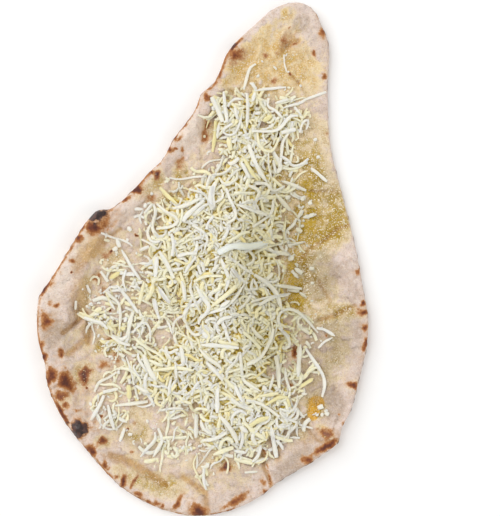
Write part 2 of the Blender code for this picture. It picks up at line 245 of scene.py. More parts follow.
table_mesh = bpy.data.meshes.new("table")
corners = [(x * TABLE_REACH, y * TABLE_REACH, -TABLE_DROP) for x, y in ((-1, -1), (1, -1), (1, 1), (-1, 1))]
table_mesh.from_pydata(corners, [], [(0, 1, 2, 3)])
table_paint = Finish("table_paint")
mottled = table_paint.blend(table_paint.grain(30.0), tone("FAFAFA"), tone("FEFEFE"))
table_paint.set(Base_Color=mottled, Roughness=0.85)
table_mesh.materials.append(table_paint.material)
add_object("table", table_mesh)
print("a table", 2 * TABLE_REACH, "m wide")

# %% [markdown]
# ## The shape of the bread
# The bread is a sheet of dough with a puffed lip all round, so its top is a height above each point of a
# flat outline. Sculpting it by hand would also work, but a height function can be read at any point: the
# mesh uses it, the browning follows it and the cheese later lands on it. All its measures are in
# millimetres. The outline runs clockwise from the narrow end and leans and bulges as stretched dough does.

# %% Outline of the bread
BREAD_OUTLINE = [
    (57.5, 160.5), (65, 159), (70.5, 154), (74, 146.5), (77.5, 138.5), (78, 106), (80.5, 67.5), (87.5, 40),
    (96, 5), (101.5, -25.5), (103, -33.5), (103, -49), (97, -77.5), (92, -95.5), (87, -105), (84.5, -114),
    (74, -122.5), (43, -142.5), (37, -147.5), (9.5, -159), (-4.5, -160.5), (-20.5, -158), (-35, -152.5),
    (-49, -144), (-72, -120), (-91.5, -92.5), (-97, -78), (-99, -64), (-102.5, -51.5), (-103.5, -38),
    (-102, -23.5), (-95, -12.5), (-80, 12), (-72, 24.5), (-66.5, 30), (-58, 31.5), (-45.5, 41.5),
    (-34.5, 53.5), (-25, 63), (-20, 72.5), (-4.5, 94.5), (-0.5, 104), (5.5, 109), (16.5, 131), (30.5, 145),
    (49.5, 159),
]
RIM_LINE_POINTS = 1000
STEPS_PER_SPAN = 16


def eased(share):
    """0 to 1 with a soft start and end."""
    share = np.clip(share, 0.0, 1.0)
    return share * share * (3.0 - 2.0 * share)


def closed_curve(points, count):
    """Evenly spaced points on a smooth closed curve through the given ones."""
    knots = np.array(points, float)
    after = np.roll(knots, -1, axis=0) - knots
    chord = np.linalg.norm(after, axis=1)[:, None]
    before = np.roll(chord, 1, axis=0)
    slope = after / chord
    tangent = (slope * before + np.roll(slope, 1, axis=0) * chord) / (chord + before)
    u = np.linspace(0.0, 1.0, STEPS_PER_SPAN, endpoint=False)[:, None]
    spans = []
    for i in range(len(knots)):
        j = (i + 1) % len(knots)
        start = (2 * u**3 - 3 * u**2 + 1) * knots[i] + (u**3 - 2 * u**2 + u) * tangent[i] * chord[i]
        end = (3 * u**2 - 2 * u**3) * knots[j] + (u**3 - u**2) * tangent[j] * chord[i]
        spans.append(start + end)
    fine = np.vstack(spans + [knots[:1]])
    travelled = np.concatenate([[0.0], np.cumsum(np.linalg.norm(np.diff(fine, axis=0), axis=1))])
    stops = np.linspace(0.0, travelled[-1], count, endpoint=False)
    return np.column_stack([np.interp(stops, travelled, fine[:, k]) for k in (0, 1)])


rim_line = closed_curve(BREAD_OUTLINE, RIM_LINE_POINTS)
print("outline spans, mm:", np.ptp(rim_line, axis=0).round(1))


# %% Distances and noise
BATCH = 4000
NOISE_KNOTS = 128


def distance_to_line(points, line, closed):
    """For each point: how far the line is, and which of its spans is the nearest. Batches save memory."""
    starts = line if closed else line[:-1]
    spans = (np.roll(line, -1, axis=0) - line)[:len(starts)]
    lengths = (spans**2).sum(axis=1)
    distance = np.empty(len(points))
    nearest = np.empty(len(points), int)
    for first in range(0, len(points), BATCH):
        some = points[first:first + BATCH]
        away = some[:, None, :] - starts[None, :, :]
        share = np.clip((away * spans).sum(axis=2) / lengths, 0.0, 1.0)
        gap = ((away - share[:, :, None] * spans) ** 2).sum(axis=2)
        best = gap.argmin(axis=1)
        distance[first:first + BATCH] = np.sqrt(gap[np.arange(len(some)), best])
        nearest[first:first + BATCH] = best
    return distance, nearest


def ripple(points, size, seed):
    """Smooth noise from about -1 to 1: a random slope at each knot of a grid, eased from knot to knot."""
    angles = np.random.default_rng(seed).uniform(0.0, math.tau, (NOISE_KNOTS, NOISE_KNOTS))
    knot = np.floor(points / size).astype(int)
    past = points / size - knot
    share = past**3 * (past * (past * 6.0 - 15.0) + 10.0)
    total = np.zeros(len(points))
    for i in (0, 1):
        for j in (0, 1):
            angle = angles[(knot[:, 0] + i) % NOISE_KNOTS, (knot[:, 1] + j) % NOISE_KNOTS]
            rise = np.cos(angle) * (past[:, 0] - i) + np.sin(angle) * (past[:, 1] - j)
            total += rise * np.abs(1 - i - share[:, 0]) * np.abs(1 - j - share[:, 1])
    return 1.6 * total


waves = ripple(rim_line, 10.0, 1)
print(f"ripples along the rim run from {waves.min():.2f} to {waves.max():.2f}")


# %% [markdown]
# The lip is not the same all round. It is broad and high on the left, where the dough ballooned, and low
# and thin on the right. Stations round the rim say how wide, how high and how far off the table it is, and
# for what share of its width it stays high before it falls to the floor of the bread. The values between
# the stations follow. Blisters and hollows are round mounds, each with a place, a radius and a height.
# Creases are soft grooves along a line, each with a width and a depth, where the dough folded as it was
# peeled off the oven wall.

# %% Lip, blisters and creases
LIP_STATIONS = [
    (57, 160, 15, 7.5, 1.5, 0.4), (78, 106, 11, 5.6, 0.5, 0.3), (87, 40, 10, 5.4, 0.6, 0.3),
    (103, -40, 17, 7.0, 1.8, 0.4), (84, -114, 13, 8.5, 2.2, 0.45), (43, -142, 18, 7.0, 0.8, 0.45),
    (-4, -160, 19, 7.5, 0.6, 0.45), (-60, -132, 15, 8.0, 1.0, 0.45), (-95, -80, 16, 9.5, 2.0, 0.5),
    (-103, -38, 26, 12.5, 2.6, 0.72), (-88, 0, 23, 11.5, 2.2, 0.68), (-67, 29, 14, 9.5, 1.6, 0.5),
    (-35, 53, 10, 7.0, 0.6, 0.4), (-5, 94, 13, 8.0, 1.2, 0.45), (16, 131, 10, 7.0, 0.9, 0.4),
]
BLISTERS = [
    (-67, 26, 7, 2.6), (-97, -38, 9, 1.6), (-85.5, -75.5, 8, 2.2), (-77, -106, 8, 2.0), (19, 130, 9, 1.8),
    (2, 101, 9, 1.8), (-19, 73, 7, 1.6), (-8, 81, 12, 1.8), (59, 131, 13, 2.4), (38, 139, 13, 1.6),
    (88, 0, 16, 1.8), (72, -3, 10, 1.8), (88, -18, 11, 1.4), (91, -44, 13, 2.2), (79, -63, 15, 1.6),
    (76, -108, 11, 2.6), (57, -116, 13, 1.8), (23, -138, 15, 2.2), (1, -150, 13, 1.6), (-45, -121, 15, 2.0),
    (-64, -94, 16, 1.6), (68, 70, 14, 1.4), (67, 97, 13, 1.2), (-80, -49, 9, 2.4),
]
HOLLOWS = [
    (-79, -33, 10, -2.6), (-27, -141, 17, -1.5), (59, -20, 14, -1.4), (73, -91, 10, -1.3),
    (57, 151, 7, -1.4), (55, 137, 8, -1.6), (-72, 2, 11, -1.4),
]
CREASES = [
    (1.4, 2.4, [(-73.5, -34), (-77, -38), (-82, -42), (-87, -46)]),
    (2.6, -2.8, [(-73, -37.5), (-79.5, -46), (-88, -52.5)]),
    (2.4, 1.3, [(-73, -49), (-78, -54), (-84, -59)]), (1.4, 1.3, [(-72, -35), (-71, -44), (-72, -53)]),
    (2.0, 0.7, [(-64.5, 12), (-70, 6)]), (2.0, 0.7, [(-70.5, 1), (-58, 3.5)]),
    (1.5, -1.3, [(-70, 5), (-64, 14), (-52.5, 21.5)]),
    (1.5, 1.3, [(-68.5, 2.8), (-62.2, 11.8), (-51.5, 19.3)]),
    (2.8, 1.5, [(-58, -122.5), (-49, -125.5), (-39.5, -130.5), (-33, -135), (-24, -141)]),
    (2.2, 1.4, [(-12.5, -136.5), (1.5, -146), (2.5, -159)]),
    (1.2, 2.3, [(37.5, -113), (38, -130.5), (40.5, -135.5), (42, -138.5), (42.5, -142)]),
    (1.4, 1.2, [(55, -94), (64, -100.5), (65, -105), (68, -110), (73, -114), (82.5, -113)]),
    (1.2, 1.1, [(88.5, 42), (67, 43)]), (1.6, 1.1, [(92, 21.5), (84, 19), (76, 12), (66, 6), (60.5, -1.5)]),
    (1.6, 1.3, [(95, -29), (82.5, -35), (73, -38)]), (1.6, 1.0, [(72, -13), (79.5, -25.5)]),
    (0.9, 1.3, [(54.5, 116), (59.5, 111), (62.5, 106)]), (3.0, -2.8, [(55, 147), (50.5, 141), (46, 130)]),
    (2.2, 1.0, [(58, 143), (55, 138), (51, 131)]), (1.3, 1.3, [(53.5, 134.5), (60, 137)]),
    (2.4, 0.9, [(1, 87), (2, 74.5)]),
]
FLOOR_THICKNESS = 4.4
EDGE_SHARE = 0.42
EDGE_LIFT_REACH = 16.0


def round_the_rim(column):
    """A station's value spread to every point of the rim line."""
    stations = np.array(LIP_STATIONS, float)
    places = distance_to_line(stations[:, :2], rim_line, True)[1]
    order = np.argsort(places)
    count = len(rim_line)
    places, levels = places[order], stations[order, column]
    return np.interp(np.arange(count), places, levels, period=count)


lip_width, lip_height, lip_lift, lip_brow = (round_the_rim(column) for column in (2, 3, 4, 5))
print(f"lip {lip_height.min():.1f} to {lip_height.max():.1f} mm high")


# %% Height of the top and of the underside
SWAY_LENGTH = 27.0
SWAY = 1.6
SWAY_SHARE = 0.8
CROWN_SHARE = 0.2
CROWN_LOSS = 0.09
CROWN_LOSS_REACH = 40.0
STILL_RIM = 0.3
BUBBLE_FADE = 8.0
UNDERSIDE_ROUNDING = 2.6
PIT_DEPTH = 0.22


def mounds(points, places):
    """Round mounds, or hollows where the given height is below 0."""
    height = np.zeros(len(points))
    for x, y, radius, top in places:
        away = np.hypot(points[:, 0] - x, points[:, 1] - y) / radius
        height += top * np.clip(1.0 - away**2, 0.0, 1.0) ** 2
    return height


def grooves(points):
    """How deep the creases cut at each point. A crease with a negative depth is a ridge."""
    depth = np.zeros(len(points))
    for width, deep, line in CREASES:
        away = distance_to_line(points, np.array(line, float), False)[0]
        depth += deep * np.exp(-((away / width) ** 2))
    return depth


def edge_lift(distance, lift):
    """How far the rim curls up off the table."""
    return lift * np.clip(1.0 - distance / EDGE_LIFT_REACH, 0.0, 1.0) ** 2


def gas_bubbles(points):
    """Soft domes with shallow valleys between them, in two sizes and about 0 on average."""
    soft, middle = 0.02, 0.36
    wide = np.sqrt(ripple(points, 14.0, 3) ** 2 + soft) - middle
    tight = np.sqrt(ripple(points, 6.5, 4) ** 2 + soft) - middle
    return 2.8 * wide + 2.6 * tight


def bread_top(points):
    """The top: a lip that rises at the rim and falls to the swaying floor, with all its relief."""
    distance, at = distance_to_line(points, rim_line, True)
    width, lip, brow = lip_width[at], lip_height[at], lip_brow[at] * lip_width[at]
    sway = np.array([noise.noise(Vector((x / SWAY_LENGTH, y / SWAY_LENGTH, 1.5))) for x, y in points]) * SWAY
    floor = FLOOR_THICKNESS + SWAY_SHARE * sway
    crown = (CROWN_SHARE - CROWN_LOSS * eased(points[:, 0] / CROWN_LOSS_REACH)) * width
    rise = np.sqrt(1.0 - (1.0 - np.clip(distance / crown, 0.0, 1.0)) ** 2)
    outer = EDGE_SHARE * lip + (1.0 - EDGE_SHARE) * lip * rise
    inner = floor + (lip - floor) * (1.0 - eased((distance - brow) / (width - brow)))
    height = np.where(distance < crown, outer, inner)
    bubbles = gas_bubbles(points) * (STILL_RIM + (1.0 - STILL_RIM) * eased((distance - brow) / BUBBLE_FADE))
    pores = 0.3 * ripple(points, 3.2, 5) + 0.2 * ripple(points, 1.7, 6)
    relief = mounds(points, BLISTERS) + mounds(points, HOLLOWS) - grooves(points) + bubbles
    height = height + relief * eased(distance / 4.0) + pores * eased(distance / 1.5)
    return height + edge_lift(distance, lip_lift[at])


def bread_underside(points):
    """The underside: flat on the table, with shallow pits, and rounded up to the rim."""
    distance, at = distance_to_line(points, rim_line, True)
    rounding = np.clip(1.0 - distance / UNDERSIDE_ROUNDING, 0.0, 1.0) ** 2
    pits = PIT_DEPTH * np.clip(ripple(points, 6.0, 8), 0.0, 1.0) * eased(distance / 3.0)
    return EDGE_SHARE * lip_height[at] * rounding + edge_lift(distance, lip_lift[at]) + pits


centre = np.zeros((1, 2))
thickness = bread_top(centre)[0] - bread_underside(centre)[0]
print(f"at its centre the bread is {thickness:.1f} mm thick")


# %% [markdown]
# The sheet is cut into triangles by a Delaunay triangulation: rows of points follow the rim, where the
# surface turns over, and an even spread fills the rest. A grid would leave steps at the rim, and a
# remesh would round off the thin edge. Top and underside share the points of the rim, so the bread is
# one closed skin.

# %% Cut the dough
RIM_POINTS = 800
TOP_ROWS = (0.12, 0.4, 0.85, 1.5, 2.4, 3.4)
UNDERSIDE_ROWS = (0.3, 0.9, 1.8, 3.0, 5.0)
TOP_STEP = 1.1
UNDERSIDE_STEP = 2.6
ROW_HEIGHT = 0.866
ROW_KEPT = 0.93
SPREAD_GAP = 0.7
JITTER = 0.12


def filled(outline, row_insets, step):
    """Points and triangles that fill an outline, whose own points come first."""
    along = np.roll(outline, -1, axis=0) - np.roll(outline, 1, axis=0)
    inward = np.column_stack([along[:, 1], -along[:, 0]]) / np.linalg.norm(along, axis=1)[:, None]
    rows = [outline]
    for inset in row_insets:
        row = outline + inward * inset
        rows.append(row[distance_to_line(row, outline, True)[0] > ROW_KEPT * inset])
    low, high = outline.min(axis=0), outline.max(axis=0)
    across, up = np.meshgrid(np.arange(low[0], high[0], step), np.arange(low[1], high[1], step * ROW_HEIGHT))
    across[1::2] += step / 2
    spread = np.column_stack([across.ravel(), up.ravel()])
    spread += JITTER * step * np.random.default_rng(11).standard_normal(spread.shape)
    rows.append(spread[distance_to_line(spread, outline, True)[0] > row_insets[-1] + SPREAD_GAP * step])
    points = np.vstack(rows)
    ring = [(i, (i + 1) % len(outline)) for i in range(len(outline))]
    found = geometry.delaunay_2d_cdt([Vector(p) for p in points], ring, [], 1, 1e-6)
    faces = np.array([[found[3][i][0] for i in face] for face in found[2]])
    used, faces = np.unique(faces, return_inverse=True)
    return points[used], faces.reshape(-1, 3)


def skin(name, outline, top_rows, top_step, top_height, under_rows, under_step, under_height):
    """A closed mesh between a top and an underside that share the outline's points."""
    count = len(outline)
    top, top_faces = filled(outline, top_rows, top_step)
    under, under_faces = filled(outline, under_rows, under_step)
    top = np.column_stack([top, top_height(top)])
    under = np.column_stack([under, under_height(under)])[count:]
    under_faces = np.where(under_faces < count, under_faces, under_faces + len(top) - count)[:, ::-1]
    mesh = bpy.data.meshes.new(name)
    mesh.from_pydata(np.vstack([top, under]) * MM, [], np.vstack([top_faces, under_faces]).tolist())
    mesh.polygons.foreach_set("use_smooth", [True] * len(mesh.polygons))
    print(name, len(top), "points on top,", len(mesh.polygons), "triangles")
    return mesh, len(top)


# The rim is a little uneven, as torn and stretched dough is.
bread_rim = closed_curve(BREAD_OUTLINE, RIM_POINTS)
outward = bread_rim - bread_rim.mean(axis=0)
outward /= np.linalg.norm(outward, axis=1)[:, None]
bread_rim += outward * (0.3 * ripple(bread_rim, 4.0, 21) + 0.15 * ripple(bread_rim, 1.7, 22))[:, None]
bread_mesh, top_count = skin(
    "naan", bread_rim, TOP_ROWS, TOP_STEP, bread_top, UNDERSIDE_ROWS, UNDERSIDE_STEP, bread_underside
)
bread = add_object("naan", bread_mesh)

# %% [markdown]
# ## Browning, char and butter
# Where a bubble touched the flame it browned, and the thinnest skin burnt black. These marks have known
# places, so they are painted on the mesh's points as soft ellipses with wandering edges, and the finish
# reads them. Each mark has a place, two radii, a turn in degrees and a strength. An image would pin the
# marks as well, but a list can be read and changed. The thin edge toasted too, in spots that fade out
# low on its side.

# %% Scorch marks
SCORCH_MARKS = [
    (-66, 27.5, 5.6, 3.2, 0, 1.1), (-68, 19.5, 4.2, 4.2, 0, 0.85), (-63, 23, 8, 6, 30, 0.4),
    (-75.5, 20, 1.9, 1.6, 0, 0.85), (-77.5, 13.5, 3.1, 2.5, 0, 0.85), (-82, 6.5, 1.2, 1.2, 0, 0.62),
    (-81, -1, 1.6, 1.6, 0, 0.62), (-88, -8.5, 0.9, 0.9, 0, 0.35), (-94, -15.5, 1.9, 1.9, 0, 0.35),
    (-98, -18, 5.6, 1.6, 59, 0.85), (-95, -27.5, 1.9, 1.9, 0, 0.35), (-90.5, -29, 1.6, 1.6, 0, 0.62),
    (-97, -38.5, 4.1, 5, 0, 0.62), (-100, -53, 1.9, 1.9, 0, 0.62), (-99, -60.5, 2.5, 3.1, 0, 0.85),
    (-88, -58.5, 1.9, 3.1, 0, 0.62), (-94.5, -72.5, 3.1, 5.6, 0, 0.85), (-85.5, -76, 4.1, 6.2, 0, 0.85),
    (-74.5, -73, 3.4, 5, 0, 0.85), (-88, -85, 3.8, 3.8, 0, 0.62), (-85.5, -90.5, 2.5, 1.9, 0, 0.62),
    (-78, -94, 3.1, 1.2, 0, 0.35), (-87.5, -96, 8.1, 1.6, -60, 0.85), (-77, -106, 5.6, 4.4, 0, 1.1),
    (-63, -113.5, 2.5, 3.1, 0, 0.62), (-69.5, -119, 3.8, 3.1, 0, 0.85), (-43, -102.5, 1.2, 1.2, 0, 0.35),
    (-44.5, -120.5, 1.2, 1.2, 0, 0.35), (-61, -128.5, 1.9, 2.5, 0, 0.62), (-59, -130.5, 1.2, 1.2, 0, 0.62),
    (-54, -135.5, 1.2, 1.2, 0, 0.62), (-49.5, -138.5, 1.9, 3.4, 0, 0.85), (-43, -138.5, 4.4, 1.1, 60, 0.62),
    (-40.5, -146.5, 2.5, 1.6, 0, 0.62), (-34, -151.5, 1.2, 1.2, 0, 0.62), (-29, -152.5, 1.9, 1.9, 0, 0.62),
    (-25, -154, 1.2, 1.2, 0, 0.62), (-16, -152.5, 5.6, 1.8, 54, 0.62), (-2.5, -157.5, 5, 4.4, 0, 0.85),
    (14.5, -130, 3.4, 2.4, 0, 0.8), (38.3, -119.5, 0.6, 5, 9, 0.5), (40.2, -129.5, 0.6, 5, 9, 0.5),
    (42, -138.5, 0.7, 4, 9, 0.55), (37.5, -139, 2.5, 2.5, 0, 0.35), (21, -150.5, 9.7, 2, 31, 0.62),
    (39.5, -145, 1.9, 1.2, 0, 0.85), (65, -125, 3.8, 2.5, 0, 0.62), (76.5, -117, 8.8, 2.1, 27, 0.85),
    (77, -108.5, 3.8, 3.8, 0, 0.62), (88, -103, 2.5, 0.8, -60, 0.62), (85, -96.5, 0.9, 0.9, 0, 0.35),
    (94, -78.5, 2.5, 2.2, 0, 0.85), (57.5, -58, 2.8, 3.8, 0, 0.62), (55, -79, 1.2, 1.2, 0, 0.62),
    (101.5, -52.5, 5, 1.2, 72, 0.85), (101, -42.5, 1.9, 2.5, 0, 0.62), (99.5, -33, 3.8, 2.5, 0, 0.62),
    (100, -27.5, 1.6, 1.9, 0, 0.85), (97, -8, 1.2, 2.5, 0, 0.62), (77, -48, 1.2, 1.2, 0, 0.35),
    (77.5, 78.5, 1.2, 1.2, 0, 0.35), (76, 114.5, 1.2, 2.5, 0, 0.62), (75, 141.5, 2.2, 3.1, 0, 0.62),
    (72.5, 151, 2.5, 0.9, -60, 0.62), (50.5, 137, 2.4, 4.4, -20, 0.36), (57, 134.5, 2.8, 0.9, 27, 0.5),
    (54, 144.5, 0.9, 0.9, 0, 0.35), (39, 127.5, 1.9, 1.6, 0, 0.42), (46, 129, 1.2, 1.2, 0, 0.3),
    (69.5, 129, 0.9, 2.5, 0, 0.62), (44, 112, 2.5, 1.9, 0, 0.42), (20.5, 127.5, 4.8, 5.6, 0, 0.55),
    (20, 133.5, 4.7, 1.2, 50, 1.1), (10.5, 115, 1.6, 3.1, 0, 0.62), (4, 106.5, 1.2, 1.2, 0, 0.62),
    (2.5, 101, 2.2, 2.5, 0, 0.62), (-5, 94, 3.1, 1.1, 53, 0.62), (-66, -12, 3, 4, 0, 0.33),
    (-63, -20, 3, 3, 0, 0.3), (-62, -66, 4, 3, 0, 0.36), (-55, -61, 3, 5, 0, 0.3), (-58, -51, 5, 3, 0, 0.3),
    (-60, 3, 4, 3, 30, 0.3), (-33, 38, 4, 3, 40, 0.3), (-14, 60, 3, 5, 0, 0.3),
    (-11, 83.5, 2.5, 0.9, 50, 0.62), (2.5, 84.5, 1.6, 3.1, 0, 0.62), (1, 76.5, 1.9, 4.4, 0, 0.62),
    (-17.5, 76, 1.9, 3.1, 0, 0.62), (-14.5, 75, 0.9, 2.5, -30, 0.62), (-20.5, 68.5, 1.9, 1.9, 0, 0.85),
    (-13, 68.5, 1.2, 1.9, 0, 0.35), (-29.5, 59.5, 2.5, 1.6, 0, 0.85), (-32, 54.5, 1.9, 1.2, 0, 0.85),
    (-28.5, 53, 3.4, 1.4, 61, 0.85), (-41, 43.5, 2.8, 2.8, 0, 1.1), (-48.5, 37.5, 4.1, 1.1, 29, 0.62),
]
SPECKS = [
    (-57.5, 5), (-42, 15), (-81.5, -8), (-73, -81), (-63.5, -98), (-47, -106.5), (54.5, 116), (-58, -32),
    (-35, -16.5), (-17, 69),
]
BURNT_BLACK = [(-66, 27.5, 8, 5, 0, 1.0), (-77, -106, 7, 6, 0, 1.0), (20, 134, 7, 3, 50, 0.45)]
WANDER = 0.2
print(len(SCORCH_MARKS), "scorch marks and", len(SPECKS), "specks")


# %% Paint the scorch marks
MARK_SOFTNESS = 0.65
SPECK_SOFTNESS = 0.4
SPECK_STRENGTH = 1.1
HALO_GROWTH = 1.9
HALO_SOFTNESS = 0.8
HALO_STRENGTH = 0.32
EDGE_STRENGTH = 0.55
TOASTED_LEFT_OF = 20.0


def covered(points, marks, grow, soft):
    """How strongly the marks cover each point: full in the middle, with lobes and a soft wandering edge."""
    wander = WANDER * ripple(points, 3.6, 31) + WANDER * ripple(points, 1.9, 32)
    cover = np.zeros(len(points))
    for number, (x, y, across, along, turn, strength) in enumerate(marks):
        away = points - (x, y)
        near = np.abs(away).max(axis=1) < 3.0 * max(across, along) + 2.0
        c, s = math.cos(math.radians(turn)), math.sin(math.radians(turn))
        u = (away[near, 0] * c + away[near, 1] * s) / (across * grow)
        v = (away[near, 1] * c - away[near, 0] * s) / (along * grow)
        around = np.arctan2(v, u)
        lobes = 1.0 + 0.15 * np.sin(2 * around + 2.4 * number) + 0.13 * np.sin(3 * around + 1.7 * number)
        reach = np.hypot(u, v) / lobes + wander[near]
        edge = np.clip((1.0 + soft - reach) / (2 * soft), 0.0, 1.0)
        edge += 0.2 * np.clip(1.0 - 1.3 * reach, 0.0, 1.0)
        cover[near] = np.maximum(cover[near], strength * edge)
    return cover


places = np.empty(len(bread_mesh.vertices) * 3, np.float32)
bread_mesh.vertices.foreach_get("co", places)
flat, level = np.split(places.reshape(-1, 3) / MM, [2], axis=1)
on_top = np.arange(len(flat)) < top_count
rim_distance, rim_point = distance_to_line(flat, rim_line, True)
speck_marks = [(x, y, 0.8, 0.7, 0, 1.0) for x, y in SPECKS]
specks = SPECK_STRENGTH * covered(flat, speck_marks, 1.0, SPECK_SOFTNESS)
scorch = np.maximum(covered(flat, SCORCH_MARKS, 0.95, MARK_SOFTNESS), specks)
# A faint tan halo lies round every mark, broken up by noise.
halo = HALO_STRENGTH * covered(flat, SCORCH_MARKS, HALO_GROWTH, HALO_SOFTNESS)
halo *= eased(0.65 + 0.6 * ripple(flat, 5.0, 36))
scorch = np.maximum(scorch, halo)
# Toasted spots run down the side of the rim on the left, and fade out near the table.
round_the_side = np.column_stack([flat @ (1.0, -0.3), 2.5 * level[:, 0]])
side_spots = ripple(round_the_side, 8.0, 33) + 0.4 * ripple(round_the_side, 3.0, 37)
toasted_edge = EDGE_STRENGTH * (1.0 - eased(rim_distance / 3.6)) * eased(0.6 + 0.8 * side_spots)
scorch = np.maximum(scorch, toasted_edge * (flat[:, 0] < TOASTED_LEFT_OF))
up_the_side = eased((level[:, 0] / lip_height[rim_point] - 0.2 + 0.25 * side_spots) / 0.4)
scorch *= 1.0 - 0.75 * (1.0 - up_the_side) * (1.0 - eased(rim_distance / 4.0))
black = covered(flat, BURNT_BLACK, 1.0, 0.5)
browned_share, burnt_share = (scorch > 0.3).mean(), (black > 0.4).mean()
print(f"browned {100 * browned_share:.0f} % of the points, burnt {100 * burnt_share:.1f} %")

# %% [markdown]
# Garlic butter was brushed over the middle and ran into the valleys, mostly on the right. It darkens the
# crumb to gold and makes it shine, and where it pools it turns olive gold. The rim stayed dry and keeps
# its dusting of flour. Wide soft patches say where the butter is, and the bubbles of the skin push it
# aside, because melted butter runs down from them. More patches paint light and shade into the colour:
# painted shade, dull and a little darker, where the dough slopes away from the window and in its hollows,
# a warm tan painted shade in its folds and on the inner slope of the lip, and painted light, paler, mostly
# on the lips at the upper left, which face the window.

# %% Where the butter, the flour, the painted shade and the painted light lie
BUTTERED = [
    (30, 126, 15, 9, 42, 0.28), (50, 134, 14, 18, 0, 0.1), (51, 134, 7, 9, 20, 0.35),
    (46, 116, 24, 13, 0, 0.22), (18, 112, 9, 11, 0, 0.25), (24, 126, 10, 7, 42, 0.2),
    (38, 140, 12, 5, 42, 0.2), (53, 153, 5, 5, 0, 0.3), (66, 116, 13, 20, 0, 0.16),
    (50, 56, 14, 30, 0, 0.5), (76, 32, 20, 26, 0, 0.58), (85, 26, 9, 16, 0, 0.5), (73, 26, 12, 11, 0, 0.25),
    (67, 54, 10, 18, 10, 0.42), (70, 72, 11, 18, 0, 0.35), (60, 10, 14, 18, 0, 0.5),
    (57, -8, 10, 14, 0, 0.6), (58, -27, 9, 8, 0, 0.8), (84, -35, 20, 6, 12, 0.4),
    (70, -18, 15, 18, 0, 0.25), (70, -93, 6, 7, 0, 0.8), (76, -107, 7, 3, -40, 0.5),
    (64, -104, 4, 9, -30, 0.3), (-45, -136, 13, 5, -25, 0.4), (-26, -142, 14, 7, -15, 0.4),
    (13, -128, 8, 3.5, -20, 0.6), (-75, -72, 7, 7, 0, 0.4), (-87, -88, 5, 6, 0, 0.3),
    (-63, -114, 5, 4, 0, 0.4), (-60, -55, 10, 5, 0, 0.45), (-42, -104, 11, 10, 0, 0.25),
    (-56, -3, 8, 10, 0, 0.32), (-28, 52, 4, 6, 0, 0.45), (-14, 54, 5, 7, 0, 0.5), (-19, 38, 9, 6, 0, 0.4),
    (3, 81, 4, 6, 0, 0.35), (-34, 43, 9, 5, 40, 0.4), (-75, 12, 9, 12, 0, 0.2), (95, -80, 6, 5, 0, 0.2),
    (83, -58, 10, 18, 0, 0.15), (-76, -24, 5, 14, -8, 0.45),
]
POOLS = [
    (57, -5, 5, 5, 0, 0.8), (58, -15, 5.5, 7, 0, 1.0), (58.5, -26, 6, 5, 0, 1.0), (48, 6, 3, 5, 0, 0.6),
    (71, -90, 5.5, 4.5, 0, 1.0), (69, -96, 4, 5.5, 0, 1.0), (76, -106, 4, 2, -40, 0.6),
    (66, 44, 4, 8, 20, 0.7), (67, 24, 6, 9, -15, 0.7), (60, 12, 4, 6, 0, 0.6), (82, -37, 8, 2, 10, 0.5),
    (52.5, 133, 3, 5, -20, 0.35), (83, 20, 5, 10, 0, 0.35), (28, 116, 8, 4, 30, 0.35),
]
DRY_PATCHES = [
    (90, -6, 10, 15, 0, 0.9), (97, -20, 6, 12, 0, 0.9), (72, 140, 6, 16, 0, 0.8),
    (-84, -20, 9, 30, -8, 0.8), (-6, 78, 9, 9, 35, 0.6),
]
# Painted shade: patches where the dough slopes away from the window and in its hollows, darker and duller.
SHADE_PATCHES = [
    (80, 46, 14, 14, 0, 0.4), (72, -10, 14, 17, 0, 0.9), (73, -57, 15, 21, 0, 0.7),
    (90, -50, 12, 18, 0, 0.6), (69, -81, 14, 11, 0, 0.7), (-84.5, -44, 9, 6, 20, 0.5),
    (23, -139, 14, 9, 20, 0.4), (61.5, 147, 6, 6, 0, 0.6), (-40, -116, 14, 4, -22, 0.5),
    (52, -112, 12, 8, 30, 0.5), (88, -5, 10, 5, 20, 0.3), (97, -22, 9, 22, 0, 0.35),
    (-93, -45, 8, 15, 0, 0.6), (82, -92, 8, 12, 0, 0.6), (36, -124, 15, 6, 20, 0.5),
    (58, -127, 20, 7, 33, 0.7),
]
# Painted warm shade on the inner slope of the lip and along creases.
FOLD_SHADE_PATCHES = [
    (-66, 8, 5, 9, -35, 0.8), (-74, 2, 5, 13, -32, 0.8), (-77, -22, 6, 15, -8, 0.65),
    (-72.5, -43, 5, 9, 0, 0.6), (-82, -40, 8, 3, 35, 0.25), (50, 134, 3, 9, -25, 0.8),
    (58, 134, 6, 3, 20, 0.5), (-52, -126, 14, 3, -22, 0.6), (46, -118, 4, 12, 8, 0.6),
    (-12, -136, 14, 3, -10, 0.4), (68, -112, 12, 3, 20, 0.5),
]
# Painted light: these patches pale the dough where it faces the window, mostly on the lips at the upper left.
LIT_PATCHES = [
    (-89, -9, 9, 20, -25, 0.8), (-74, 10, 8, 12, -35, 0.7), (-40, 36, 14, 12, 40, 0.6),
    (-8, 78, 8, 14, -35, 1.0), (58, 140, 16, 16, 0, 0.4), (54, 142, 4, 9, -25, 0.6),
    (-20, -122, 14, 10, 0, 0.6),
]
print(len(BUTTERED), "buttered patches and", len(POOLS), "pools")


# %% Paint the butter, the flour, the painted shade and the painted light
def soft_patches(points, patches):
    """Patches that are full to half their radii and gone beyond; where they overlap they add up towards 1."""
    bare = np.ones(len(points))
    for x, y, across, along, turn, level in patches:
        away = points - (x, y)
        c, s = math.cos(math.radians(turn)), math.sin(math.radians(turn))
        reach = np.hypot((away @ (c, s)) / across, (away @ (-s, c)) / along)
        bare *= 1.0 - level * (1.0 - eased((reach - 0.5) / 0.9))
    return 1.0 - bare


run_off = 0.08 * gas_bubbles(flat) + 0.1 * ripple(flat, 9.0, 34) + 0.18 * ripple(flat, 4.5, 35)
crumb = 0.14 * eased((rim_distance - 6.0) / 12.0)
